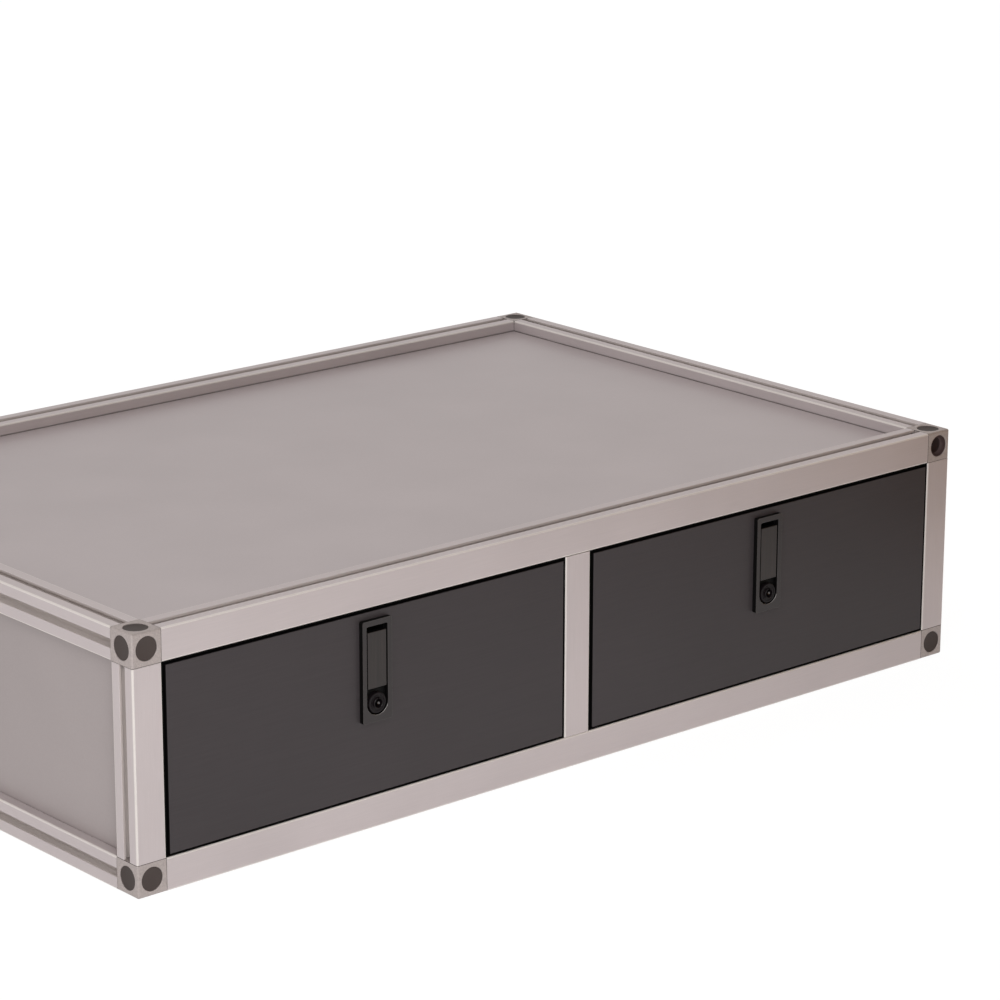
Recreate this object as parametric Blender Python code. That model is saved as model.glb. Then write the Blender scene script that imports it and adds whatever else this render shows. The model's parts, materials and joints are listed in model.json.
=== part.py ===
"""Drawer module: a slotted aluminium frame with panels, two drawers on ball slides and flush latches.

Metres, +Z up. The origin is on the floor, midway along the width and the whole depth, and the drawers
face -Y. Run it with blender --background --python part.py, or from the text editor.
"""

import math

import bmesh
import bpy
from mathutils import Matrix

# Overall size of the frame
WIDTH = 0.990
DEPTH = 0.650
HEIGHT = 0.234
CLEARANCE = 0.0003
OVERRUN = 0.002

# Slotted profile
PROFILE = 0.030
PROFILE_CORNER = 0.0015
SLOT_WIDTH = 0.0082
SLOT_CHAMFER = 0.0004
SLOT_LIP = 0.0022
SLOT_DEPTH = 0.0090
UNDERCUT_WIDTH = 0.0164
UNDERCUT_DEPTH = 0.0050
SLOT_FLOOR_WIDTH = 0.0088
CORE_BORE = 0.0068

# Corner cubes and their caps
CUBE_EDGE = 0.0012
CAP_DIAMETER = 0.0210
CAP_THICKNESS = 0.0022
CAP_CHAMFER = 0.0003

# Panels in the slots
PANEL_CLEARANCE = 0.0005
PANEL_THICKNESS = SLOT_WIDTH - 2 * PANEL_CLEARANCE
PANEL_ENGAGEMENT = 0.0085

# Drawer fronts
FRONT_THICKNESS = 0.012
FRONT_PROUD = 0.001
FRONT_SIDE_GAP = 0.0035
FRONT_LEVEL_GAP = 0.003
FRONT_EDGE = 0.0004

# Ball slides
SLIDE_END_GAP = 0.020
SLIDE_THICKNESS = 0.0127
SLIDE_HEIGHT = 0.0457
SLIDE_SHEET = 0.0012
SLIDE_BEND = 0.0016
SLIDE_RUNNING_GAP = 0.0007
BALL_SPACE = 0.0034
OUTER_FLANGE_REACH = 0.0096
INNER_FLANGE_SETBACK = 0.0083

# Drawer trays
TRAY_BACK_GAP = 0.009
TRAY_RAISE = 0.008
TRAY_HEADROOM = 0.016
TRAY_SHEET = 0.0015
TRAY_LIP = 0.012

# Latch housing, measured from the face of its rim inwards and up from the lock's centre
RIM_WIDTH = 0.0315
RIM_HEIGHT = 0.0925
RIM_THICKNESS = 0.005
RIM_CORNER = 0.003
RIM_CHAMFER = 0.0012
RIM_MARGIN = 0.0075
RECESS_WIDTH = 0.021
RECESS_TOP_BORDER = 0.0055
RECESS_BOTTOM_BORDER = 0.0065
RECESS_CORNER = 0.0015
RECESS_DEPTH = 0.020
KNUCKLE_DEPTH = 0.010
KNUCKLE_HEIGHT = 0.008
LOCK_FLOOR_DEPTH = 0.0045
CUP_WALL = 0.002
GUIDE_WIDTH = 0.006
GUIDE_SHEET = 0.0015
GUIDE_HEIGHT_SHARES = (0.35, 0.85)

# Lever
LEVER_SUNK = 0.001
LEVER_THICKNESS = 0.0032
LEVER_FOOT_GAP = 0.0045
LEVER_EDGE = 0.0008
FINGER_GAP = 0.005
FINGER_LIP_HEIGHT = 0.007
FINGER_LIP_DEPTH = 0.002
LEVER_PIN_DIAMETER = 0.002
LEVER_PIN_REACH = 0.0014

# Key lock with its pinion, and the bolt with its rack
LOCK_HEAD_DIAMETER = 0.019
LOCK_HEAD_SUNK = 0.0002
LOCK_HEAD_EDGE = 0.0006
LOCK_RING_DIAMETER = 0.0150
LOCK_RING_WIDTH = 0.0006
LOCK_RING_DEPTH = 0.0005
KEYWAY_DIAMETER = 0.0096
KEYWAY_DEPTH = 0.006
KEY_POST_DIAMETER = 0.004
KEY_POST_SUNK = 0.0004
KEY_NOTCH_WIDTH = 0.0018
KEY_NOTCH_REACH = 0.0012
BARREL_DIAMETER = 0.0124
TAIL_DIAMETER = 0.0068
TAIL_LENGTH = 0.002
GEAR_MODULE = 0.001
GEAR_TEETH = 12
GEAR_PRESSURE = math.radians(25)
GEAR_BACKLASH = 0.00015
GEAR_DEDENDUM_SHARE = 1.25
LOCK_TURN = math.radians(90)
BOLT_THICKNESS = 0.003
BOLT_WIDTH = 0.0078
BOLT_TOP_MARGIN = 0.001
BOLT_CHAMFER = 0.0015
BOLT_SIDE_GAP = 0.0007

# Facets of round forms
CORNER_STEPS = 3
ROUND_STEPS = 20
PIN_STEPS = 12

# Places that follow from the sizes
PITCH_RADIUS = GEAR_MODULE * GEAR_TEETH / 2
RACK_PITCH = GEAR_MODULE * math.pi
BOLT_THROW = PITCH_RADIUS * LOCK_TURN
LATCH_REACH = FRONT_PROUD + RIM_THICKNESS
FRONT_Y = (LATCH_REACH - DEPTH) / 2
BACK_Y = FRONT_Y + DEPTH
HALF_WIDTH = WIDTH / 2
OPENING_LOW = PROFILE
OPENING_HIGH = HEIGHT - PROFILE
BAY_WIDTH = (WIDTH - 3 * PROFILE) / 2
BAY_CENTRE = (BAY_WIDTH + PROFILE) / 2
FRONT_TOP = OPENING_HIGH - FRONT_LEVEL_GAP
FRONT_BOTTOM = OPENING_LOW + FRONT_LEVEL_GAP
BOARD_BACK = RIM_THICKNESS + FRONT_THICKNESS
LOCK_RISE = RECESS_BOTTOM_BORDER + RECESS_WIDTH / 2
LOCK_HEIGHT = FRONT_TOP - RIM_MARGIN - RIM_HEIGHT + LOCK_RISE
RIM_TOP = RIM_HEIGHT - LOCK_RISE
RECESS_TOP = RIM_TOP - RECESS_TOP_BORDER
LEVER_TOP = RECESS_TOP - FINGER_GAP
LEVER_BOTTOM = LOCK_HEAD_DIAMETER / 2 + LEVER_FOOT_GAP
PIVOT_RISE = LEVER_BOTTOM + LEVER_THICKNESS / 2
PIVOT_DEPTH = LEVER_SUNK + LEVER_THICKNESS / 2
RIM_FACE_Y = FRONT_Y - LATCH_REACH
TRAY_FRONT_Y = RIM_FACE_Y + BOARD_BACK + CLEARANCE
TRAY_DEPTH = BACK_Y - PROFILE - TRAY_BACK_GAP - TRAY_FRONT_Y
TRAY_WIDTH = BAY_WIDTH - 2 * (SLIDE_THICKNESS + 2 * CLEARANCE)
TRAY_BOTTOM = OPENING_LOW + TRAY_RAISE
TRAY_HEIGHT = OPENING_HIGH - TRAY_HEADROOM - TRAY_BOTTOM
TRAY_MIDDLE_HEIGHT = TRAY_BOTTOM + TRAY_HEIGHT / 2
SLIDE_FRONT_Y = FRONT_Y + SLIDE_END_GAP
SLIDE_LENGTH = DEPTH - 2 * SLIDE_END_GAP

# Where a shape's own axes u, v and w point in the world
ALONG_X = Matrix(((0, 0, 1), (1, 0, 0), (0, 1, 0)))
ALONG_Y = Matrix(((0, 1, 0), (0, 0, 1), (1, 0, 0)))
ALONG_Z = Matrix.Identity(3)
FACING_FRONT = Matrix(((1, 0, 0), (0, 0, -1), (0, 1, 0)))


def clear_scene():
    for item in list(bpy.data.objects):
        bpy.data.objects.remove(item, do_unlink=True)


def material(name, colour, metallic, roughness):
    made = bpy.data.materials.new(name)
    made.use_nodes = True
    shader = made.node_tree.nodes["Principled BSDF"]
    shader.inputs["Base Color"].default_value = (*colour, 1)
    shader.inputs["Metallic"].default_value = metallic
    shader.inputs["Roughness"].default_value = roughness
    return made


def make_materials():
    return {
        "aluminium": material("anodised_aluminium", (0.60, 0.55, 0.53), 0.85, 0.42),
        "cast": material("cast_corner", (0.46, 0.43, 0.41), 0.7, 0.6),
        "cap": material("corner_cap", (0.075, 0.063, 0.058), 0.0, 0.6),
        "panel": material("panel_laminate", (0.40, 0.355, 0.35), 0.0, 0.6),
        "front": material("front_laminate", (0.062, 0.055, 0.056), 0.0, 0.5),
        "tray": material("tray_sheet", (0.09, 0.088, 0.09), 0.3, 0.5),
        "steel": material("slide_steel", (0.55, 0.56, 0.57), 0.9, 0.35),
        "latch": material("latch_casting", (0.035, 0.033, 0.033), 0.2, 0.45),
        "lock": material("lock_barrel", (0.025, 0.024, 0.024), 0.6, 0.3),
    }


# Outlines, as lists of (u, v) points counterclockwise


def arc(centre, radius, start, end, steps):
    """Points on a circle from one angle to another, both ends included."""
    points = []
    for step in range(steps + 1):
        angle = start + (end - start) * step / steps
        points.append((centre[0] + radius * math.cos(angle), centre[1] + radius * math.sin(angle)))
    return points


def circle(diameter, steps=ROUND_STEPS):
    return arc((0, 0), diameter / 2, 0, 2 * math.pi, steps)[:-1]


def box_outline(low, high, radius=0):
    """A rectangle between two corners, with rounded corners if a radius is given."""
    if not radius:
        return [low, (high[0], low[1]), high, (low[0], high[1])]
    centres = (
        (high[0] - radius, high[1] - radius),
        (low[0] + radius, high[1] - radius),
        (low[0] + radius, low[1] + radius),
        (high[0] - radius, low[1] + radius),
    )
    points = []
    for turn, centre in enumerate(centres):
        start = turn * math.pi / 2
        points += arc(centre, radius, start, start + math.pi / 2, CORNER_STEPS)
    return points


def tongue_outline(width, top, corner):
    """A round-bottomed upright outline, its half circle centred on the origin."""
    half = width / 2
    points = arc((0, 0), half, math.pi, 2 * math.pi, ROUND_STEPS // 2)
    points += arc((half - corner, top - corner), corner, 0, math.pi / 2, CORNER_STEPS)
    points += arc((corner - half, top - corner), corner, math.pi / 2, math.pi, CORNER_STEPS)
    return points


def slot_side():
    """Half of a slot on the +v side of the profile, from its mouth to its floor."""
    face = PROFILE / 2
    return [
        (SLOT_WIDTH / 2 + SLOT_CHAMFER, face),
        (SLOT_WIDTH / 2, face - SLOT_CHAMFER),
        (SLOT_WIDTH / 2, face - SLOT_LIP),
        (UNDERCUT_WIDTH / 2, face - SLOT_LIP),
        (UNDERCUT_WIDTH / 2, face - UNDERCUT_DEPTH),
        (SLOT_FLOOR_WIDTH / 2, face - SLOT_DEPTH),
    ]


def slotted_outline(closed_side=None):
    """The profile's section. Sides 0 to 3 face +u, +v, -u and -v, and one can be closed and smooth."""
    inner = PROFILE / 2 - PROFILE_CORNER
    half_slot = slot_side()
    whole_slot = half_slot + [(-u, v) for u, v in reversed(half_slot)]
    points = []
    for side in range(4):
        turn = Matrix.Rotation((side - 1) * math.pi / 2, 2)
        local = arc((inner, inner), PROFILE_CORNER, 0, math.pi / 2, CORNER_STEPS)
        if side != closed_side:
            local += whole_slot
        points += [tuple(turn @ Matrix(((u, 0), (v, 0))).col[0]) for u, v in local]
    return points


def notched_outline(low, high, notched):
    """A rectangle whose named corners are cut out square where a cube stands."""
    cut = PANEL_ENGAGEMENT + CLEARANCE
    corners = {
        "low_low": (low[0], low[1], 1, 1),
        "high_low": (high[0], low[1], -1, 1),
        "high_high": (high[0], high[1], -1, -1),
        "low_high": (low[0], high[1], 1, -1),
    }
    points = []
    for name, (u, v, inward_u, inward_v) in corners.items():
        if name not in notched:
            points.append((u, v))
            continue
        notch = [(u, v + inward_v * cut), (u + inward_u * cut, v + inward_v * cut), (u + inward_u * cut, v)]
        points += notch if inward_u == inward_v else reversed(notch)
    return points


def rounded_path(points, radius, steps=2):
    """An open path whose inner corners are bent to a radius."""
    bent = [points[0]]
    for before, corner, after in zip(points, points[1:], points[2:]):
        incoming = math.atan2(corner[1] - before[1], corner[0] - before[0])
        outgoing = math.atan2(after[1] - corner[1], after[0] - corner[0])
        turn = (outgoing - incoming + math.pi) % (2 * math.pi) - math.pi
        side = math.copysign(math.pi / 2, turn)
        reach = radius * math.tan(abs(turn) / 2)
        inward = incoming + side
        start = (corner[0] - reach * math.cos(incoming), corner[1] - reach * math.sin(incoming))
        centre = (start[0] + radius * math.cos(inward), start[1] + radius * math.sin(inward))
        bent += arc(centre, radius, incoming - side, incoming - side + turn, steps)
    return bent + [points[-1]]


def strip_outline(path, thickness):
    """The section of a bent sheet: a path given thickness to both sides, with mitred bends."""
    sides = ([], [])
    for index, point in enumerate(path):
        before = path[max(index - 1, 0)]
        after = path[min(index + 1, len(path) - 1)]
        incoming = math.atan2(point[1] - before[1], point[0] - before[0]) if index else None
        outgoing = math.atan2(after[1] - point[1], after[0] - point[0]) if index < len(path) - 1 else incoming
        incoming = outgoing if incoming is None else incoming
        turn = (outgoing - incoming + math.pi) % (2 * math.pi) - math.pi
        normal = incoming + turn / 2 + math.pi / 2
        offset = thickness / 2 / math.cos(turn / 2)
        for side, direction in zip(sides, (1, -1)):
            side.append(
                (
                    point[0] + direction * offset * math.cos(normal),
                    point[1] + direction * offset * math.sin(normal),
                )
            )
    return sides[1] + sides[0][::-1]


def involute(angle):
    return math.tan(angle) - angle


def pinion_outline():
    """An involute gear's section, with a tooth centred on +u."""
    base = PITCH_RADIUS * math.cos(GEAR_PRESSURE)
    root = PITCH_RADIUS - GEAR_DEDENDUM_SHARE * GEAR_MODULE
    tip = PITCH_RADIUS + GEAR_MODULE
    half_tooth = (math.pi * GEAR_MODULE - GEAR_BACKLASH) / (4 * PITCH_RADIUS) + involute(GEAR_PRESSURE)
    flank = [(root, half_tooth)]
    for share in (0, 1 / 2, 1):
        radius = base + (tip - base) * share
        flank.append((radius, half_tooth - involute(math.acos(min(base / radius, 1)))))
    points = []
    for tooth in range(GEAR_TEETH):
        centre = tooth * 2 * math.pi / GEAR_TEETH
        for radius, half_angle in flank:
            points.append((radius * math.cos(centre - half_angle), radius * math.sin(centre - half_angle)))
        for radius, half_angle in reversed(flank):
            points.append((radius * math.cos(centre + half_angle), radius * math.sin(centre + half_angle)))
    return points


def rack_teeth(first_tooth, last_tooth):
    """Rack teeth that point to +u towards the pinion, from the lowest up. A gap faces the pinion at rest."""
    tip = -PITCH_RADIUS + GEAR_MODULE
    root = -PITCH_RADIUS - GEAR_DEDENDUM_SHARE * GEAR_MODULE
    half_pitch_line = (RACK_PITCH - GEAR_BACKLASH) / 4
    half_tip = half_pitch_line - GEAR_MODULE * math.tan(GEAR_PRESSURE)
    half_root = half_pitch_line + GEAR_DEDENDUM_SHARE * GEAR_MODULE * math.tan(GEAR_PRESSURE)
    points = []
    for tooth in range(first_tooth, last_tooth):
        centre = (tooth + 1 / 2) * RACK_PITCH
        points += [(root, centre - half_root), (tip, centre - half_tip)]
        points += [(tip, centre + half_tip), (root, centre + half_root)]
    return points


# Solids


def finished(mesh_builder, name, axes, place):
    """An object from a closed bmesh, its faces turned outwards."""
    bmesh.ops.recalc_face_normals(mesh_builder, faces=mesh_builder.faces)
    mesh = bpy.data.meshes.new(name)
    mesh_builder.to_mesh(mesh)
    mesh_builder.free()
    made = bpy.data.objects.new(name, mesh)
    made.location = place
    made.rotation_euler = axes.to_euler()
    bpy.context.collection.objects.link(made)
    return made


def prism(name, outline, low, high, axes=ALONG_Z, place=(0, 0, 0), holes=(), chamfer=0):
    """An outline, less its holes, extruded along w, with an optional chamfer round its high end."""
    shape = bmesh.new()
    edges = []
    for loop in (outline, *holes):
        corners = [shape.verts.new((u, v, low)) for u, v in loop]
        edges += [shape.edges.new(pair) for pair in zip(corners, corners[1:] + corners[:1])]
        if not holes:
            shape.faces.new(corners)
    if holes:
        bmesh.ops.triangle_fill(shape, use_beauty=True, use_dissolve=False, edges=edges)
    grown = bmesh.ops.extrude_face_region(shape, geom=shape.faces[:], use_keep_orig=True)
    moved = [item for item in grown["geom"] if isinstance(item, bmesh.types.BMVert)]
    cap = [item for item in grown["geom"] if isinstance(item, bmesh.types.BMFace)]
    bmesh.ops.translate(shape, vec=(0, 0, high - low - chamfer), verts=moved)
    bmesh.ops.recalc_face_normals(shape, faces=shape.faces)
    if chamfer:
        bmesh.ops.inset_region(shape, faces=cap, thickness=chamfer, depth=chamfer, use_even_offset=True)
    return finished(shape, name, axes, place)


def turned(name, profile, axes, place, steps=ROUND_STEPS):
    """A profile of (radius, w) points, from axis to axis, spun into a solid."""
    shape = bmesh.new()
    corners = [shape.verts.new((radius, 0, w)) for radius, w in profile]
    edges = [shape.edges.new(pair) for pair in zip(corners, corners[1:])]
    bmesh.ops.spin(
        shape, geom=corners + edges, cent=(0, 0, 0), axis=(0, 0, 1), angle=2 * math.pi, steps=steps
    )
    bmesh.ops.remove_doubles(shape, verts=shape.verts, dist=CLEARANCE / 10)
    made = finished(shape, name, axes, place)
    made.data.shade_smooth()
    made.data.set_sharp_from_angle(angle=math.radians(35))
    return made


def combine(target, tool, operation):
    """Cuts or joins one solid with another, and leaves only the result."""
    step = target.modifiers.new(tool.name, "BOOLEAN")
    step.operation = operation
    step.solver = "EXACT"
    step.object = tool
    bpy.context.view_layer.update()
    result = target.evaluated_get(bpy.context.evaluated_depsgraph_get())
    mesh = bpy.data.meshes.new_from_object(result)
    target.modifiers.clear()
    target.data = mesh
    bpy.data.objects.remove(tool, do_unlink=True)


def cut(target, tool):
    combine(target, tool, "DIFFERENCE")


def join(target, tool):
    combine(target, tool, "UNION")


def dress(item, finish):
    item.data.materials.clear()
    item.data.materials.append(finish)
    return item


def pivot(name, place):
    """An empty that a moving group hangs on."""
    made = bpy.data.objects.new(name, None)
    made.location = place
    bpy.context.collection.objects.link(made)
    return made


def hang(item, parent):
    """Parents a piece and keeps it where it is."""
    item.parent = parent
    item.matrix_parent_inverse = Matrix.Translation(-parent.location)


# Frame


def rail_along_x(name, y, z, closed_side, finish):
    length = WIDTH - 2 * (PROFILE + CLEARANCE)
    place = (PROFILE + CLEARANCE - HALF_WIDTH, y, z)
    bore = [circle(CORE_BORE, PIN_STEPS)]
    return dress(prism(name, slotted_outline(closed_side), 0, length, ALONG_X, place, bore), finish)


def rail_along_y(name, x, z, finish):
    length = DEPTH - 2 * (PROFILE + CLEARANCE)
    place = (x, FRONT_Y + PROFILE + CLEARANCE, z)
    bore = [circle(CORE_BORE, PIN_STEPS)]
    return dress(prism(name, slotted_outline(), 0, length, ALONG_Y, place, bore), finish)


def upright(name, x, y, closed_side, finish):
    length = HEIGHT - 2 * (PROFILE + CLEARANCE)
    place = (x, y, PROFILE + CLEARANCE)
    bore = [circle(CORE_BORE, PIN_STEPS)]
    return dress(prism(name, slotted_outline(closed_side), 0, length, ALONG_Z, place, bore), finish)


def make_frame(finish):
    """Rails, posts and mullions. Front faces are closed and smooth, all others slotted."""
    side_x = {"left": PROFILE / 2 - HALF_WIDTH, "right": HALF_WIDTH - PROFILE / 2}
    end_y = {"front": FRONT_Y + PROFILE / 2, "back": BACK_Y - PROFILE / 2}
    level_z = {"bottom": PROFILE / 2, "top": HEIGHT - PROFILE / 2}
    for end, y in end_y.items():
        for level, z in level_z.items():
            rail_along_x(f"{end}_{level}_rail", y, z, 2 if end == "front" else None, finish)
        for side, x in side_x.items():
            upright(f"{end}_{side}_post", x, y, 3 if end == "front" else None, finish)
        upright(f"{end}_mullion", 0, y, 3 if end == "front" else None, finish)
    for side, x in side_x.items():
        for level, z in level_z.items():
            rail_along_y(f"{side}_{level}_rail", x, z, finish)
    return side_x, end_y, level_z


# Corner cubes


def cube_body(name, place):
    shape = bmesh.new()
    bmesh.ops.create_cube(shape, size=PROFILE)
    bmesh.ops.bevel(shape, geom=shape.edges[:], offset=CUBE_EDGE, segments=2, profile=0.5, affect="EDGES")
    return finished(shape, name, ALONG_Z, place)


def cap_seat(axes, place):
    """The cutter for the round pocket that a cap is pressed into."""
    depth = CAP_THICKNESS + CLEARANCE
    outline = circle(CAP_DIAMETER + 2 * CLEARANCE)
    return prism("cap_seat", outline, PROFILE / 2 - depth, PROFILE / 2 + OVERRUN, axes, place)


def cap_joint(axes, place):
    """The cutter for the thin ring left open round a cap that is one piece with its cube."""
    outline = circle(CAP_DIAMETER + 2 * CLEARANCE)
    inside = [circle(CAP_DIAMETER)]
    depth = CAP_CHAMFER * 2
    return prism("cap_joint", outline, PROFILE / 2 - depth, PROFILE / 2 + OVERRUN, axes, place, inside)


def cap(name, axes, place, finish):
    face = PROFILE / 2
    outline = circle(CAP_DIAMETER)
    made = prism(name, outline, face - CAP_THICKNESS, face, axes, place, chamfer=CAP_CHAMFER)
    return dress(made, finish)


def outward_axes(axis, sign):
    """Axes whose w points out of a cube's face."""
    facing = {0: ALONG_X, 1: ALONG_Y, 2: ALONG_Z}[axis]
    flip = Matrix.Rotation(math.pi, 3, "X") if sign < 0 else Matrix.Identity(3)
    return facing @ flip


def make_corners(side_x, end_y, level_z, cube_finish, cap_finish):
    """Eight cubes. Caps on front and top faces are pieces of their own, the others one with the cube."""
    for end, y in end_y.items():
        for side, x in side_x.items():
            for level, z in level_z.items():
                place = (x, y, z)
                cube = cube_body(f"{end}_{side}_{level}_corner", place)
                cut(cube, cap_joint(outward_axes(0, math.copysign(1, x)), place))
                front_or_back = outward_axes(1, -1 if end == "front" else 1)
                cut(cube, (cap_seat if end == "front" else cap_joint)(front_or_back, place))
                up_or_down = outward_axes(2, 1 if level == "top" else -1)
                cut(cube, (cap_seat if level == "top" else cap_joint)(up_or_down, place))
                dress(cube, cube_finish)
                if end == "front":
                    cap(f"front_cap_{side}_{level}", front_or_back, place, cap_finish)
                if level == "top":
                    cap(f"top_cap_{end}_{side}", up_or_down, place, cap_finish)


# Panels


def make_panels(side_x, end_y, level_z, finish):
    """Panels held in the slots on the frame's centre planes, notched round the cubes."""
    inset = PROFILE - PANEL_ENGAGEMENT
    across = (inset - HALF_WIDTH, HALF_WIDTH - inset)
    along = (FRONT_Y + inset, BACK_Y - inset)
    upward = (inset, HEIGHT - inset)
    half = PANEL_THICKNESS / 2
    every_corner = ("low_low", "high_low", "high_high", "low_high")

    level_outline = notched_outline((across[0], along[0]), (across[1], along[1]), every_corner)
    for name, level in (("top_panel", "top"), ("floor_panel", "bottom")):
        dress(prism(name, level_outline, -half, half, ALONG_Z, (0, 0, level_z[level])), finish)

    side_outline = notched_outline((along[0], upward[0]), (along[1], upward[1]), every_corner)
    for side, x in side_x.items():
        dress(prism(f"{side}_side_panel", side_outline, -half, half, ALONG_X, (x, 0, 0)), finish)

    at_mullion = PROFILE / 2 - PANEL_ENGAGEMENT
    outer_corners = {"left": ("low_low", "low_high"), "right": ("high_low", "high_high")}
    left_outline = notched_outline((across[0], upward[0]), (-at_mullion, upward[1]), outer_corners["left"])
    right_outline = notched_outline((at_mullion, upward[0]), (across[1], upward[1]), outer_corners["right"])
    for side, outline in (("left", left_outline), ("right", right_outline)):
        made = prism(f"back_{side}_panel", outline, -half, half, FACING_FRONT, (0, end_y["back"], 0))
        dress(made, finish)


# Ball slides


def channel_path(web, edge, half_height, lip):
    """A C section's middle line. A positive lip turns inwards and a negative one outwards."""
    upper = [(web, half_height), (edge, half_height), (edge, half_height - lip)]
    lower = [(across, -height) for across, height in reversed(upper)]
    return rounded_path(lower + upper, SLIDE_BEND)


def slide_sections():
    """Sections of the outer, middle and inner members as (distance from the cabinet's wall, height)."""
    half_sheet = SLIDE_SHEET / 2
    outer_half = SLIDE_HEIGHT / 2 - half_sheet
    middle_half = outer_half - SLIDE_SHEET - BALL_SPACE
    inner_half = middle_half - SLIDE_SHEET - BALL_SPACE
    middle_web = half_sheet + SLIDE_SHEET + SLIDE_RUNNING_GAP
    inner_web = SLIDE_THICKNESS - half_sheet
    middle_edge = inner_web - SLIDE_SHEET - SLIDE_RUNNING_GAP
    outer_edge = OUTER_FLANGE_REACH - half_sheet
    lip = BALL_SPACE + half_sheet - SLIDE_RUNNING_GAP
    inner_edge = inner_web - INNER_FLANGE_SETBACK + SLIDE_SHEET
    return {
        "outer": channel_path(half_sheet, outer_edge, outer_half, lip),
        "middle": channel_path(middle_web, middle_edge, middle_half, lip),
        "inner": channel_path(inner_web, inner_edge, inner_half, -lip),
    }


def slide_member(name, path, wall_x, facing, finish):
    """One member, from the section's middle line, along Y."""
    outline = [(height, facing * across) for across, height in strip_outline(path, SLIDE_SHEET)]
    place = (wall_x + facing * CLEARANCE, SLIDE_FRONT_Y, TRAY_MIDDLE_HEIGHT)
    return dress(prism(name, outline, 0, SLIDE_LENGTH, ALONG_Y, place), finish)


def make_slides(side, centre, drawer, middles, finish):
    for hand, facing in (("left", 1), ("right", -1)):
        wall_x = centre - facing * BAY_WIDTH / 2
        for member, path in slide_sections().items():
            piece = slide_member(f"{side}_drawer_{hand}_slide_{member}", path, wall_x, facing, finish)
            if member == "middle":
                hang(piece, middles)
            if member == "inner":
                hang(piece, drawer)


# Drawers


def make_front(side, centre, drawer, finish):
    """The drawer's board, with the hole that its latch passes through."""
    half = BAY_WIDTH / 2 - FRONT_SIDE_GAP
    low = (-half, FRONT_BOTTOM - LOCK_HEIGHT)
    high = (half, FRONT_TOP - LOCK_HEIGHT)
    hole_width = RECESS_WIDTH + 2 * (CUP_WALL + CLEARANCE)
    hole = tongue_outline(hole_width, RECESS_TOP + CUP_WALL + CLEARANCE, RECESS_CORNER + CUP_WALL)
    place = (centre, RIM_FACE_Y, LOCK_HEIGHT)
    outline = box_outline(low, high)
    board = prism(
        f"{side}_drawer_front", outline, -BOARD_BACK, -RIM_THICKNESS, FACING_FRONT, place, [hole], FRONT_EDGE
    )
    hang(dress(board, finish), drawer)


def make_tray(side, centre, drawer, finish):
    """A folded sheet tray: a box opened at the top and the front, with a lip left round the opening."""
    shape = bmesh.new()
    size = (TRAY_WIDTH, TRAY_DEPTH, TRAY_HEIGHT)
    bmesh.ops.create_cube(shape, size=1, matrix=Matrix.Diagonal((*size, 1)))
    opened = [face for face in shape.faces if face.normal.z > 0.5 or face.normal.y < -0.5]
    bmesh.ops.inset_region(shape, faces=opened, thickness=TRAY_LIP, use_even_offset=True)
    bmesh.ops.delete(shape, geom=opened, context="FACES")
    middle_y = TRAY_FRONT_Y + TRAY_DEPTH / 2
    mesh = bpy.data.meshes.new(f"{side}_drawer_tray")
    shape.to_mesh(mesh)
    shape.free()
    tray = bpy.data.objects.new(f"{side}_drawer_tray", mesh)
    tray.location = (centre, middle_y, TRAY_MIDDLE_HEIGHT)
    bpy.context.collection.objects.link(tray)
    fold = tray.modifiers.new("sheet", "SOLIDIFY")
    fold.thickness = TRAY_SHEET
    fold.offset = -1
    fold.use_even_offset = True
    hang(dress(tray, finish), drawer)


# Latch


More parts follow.
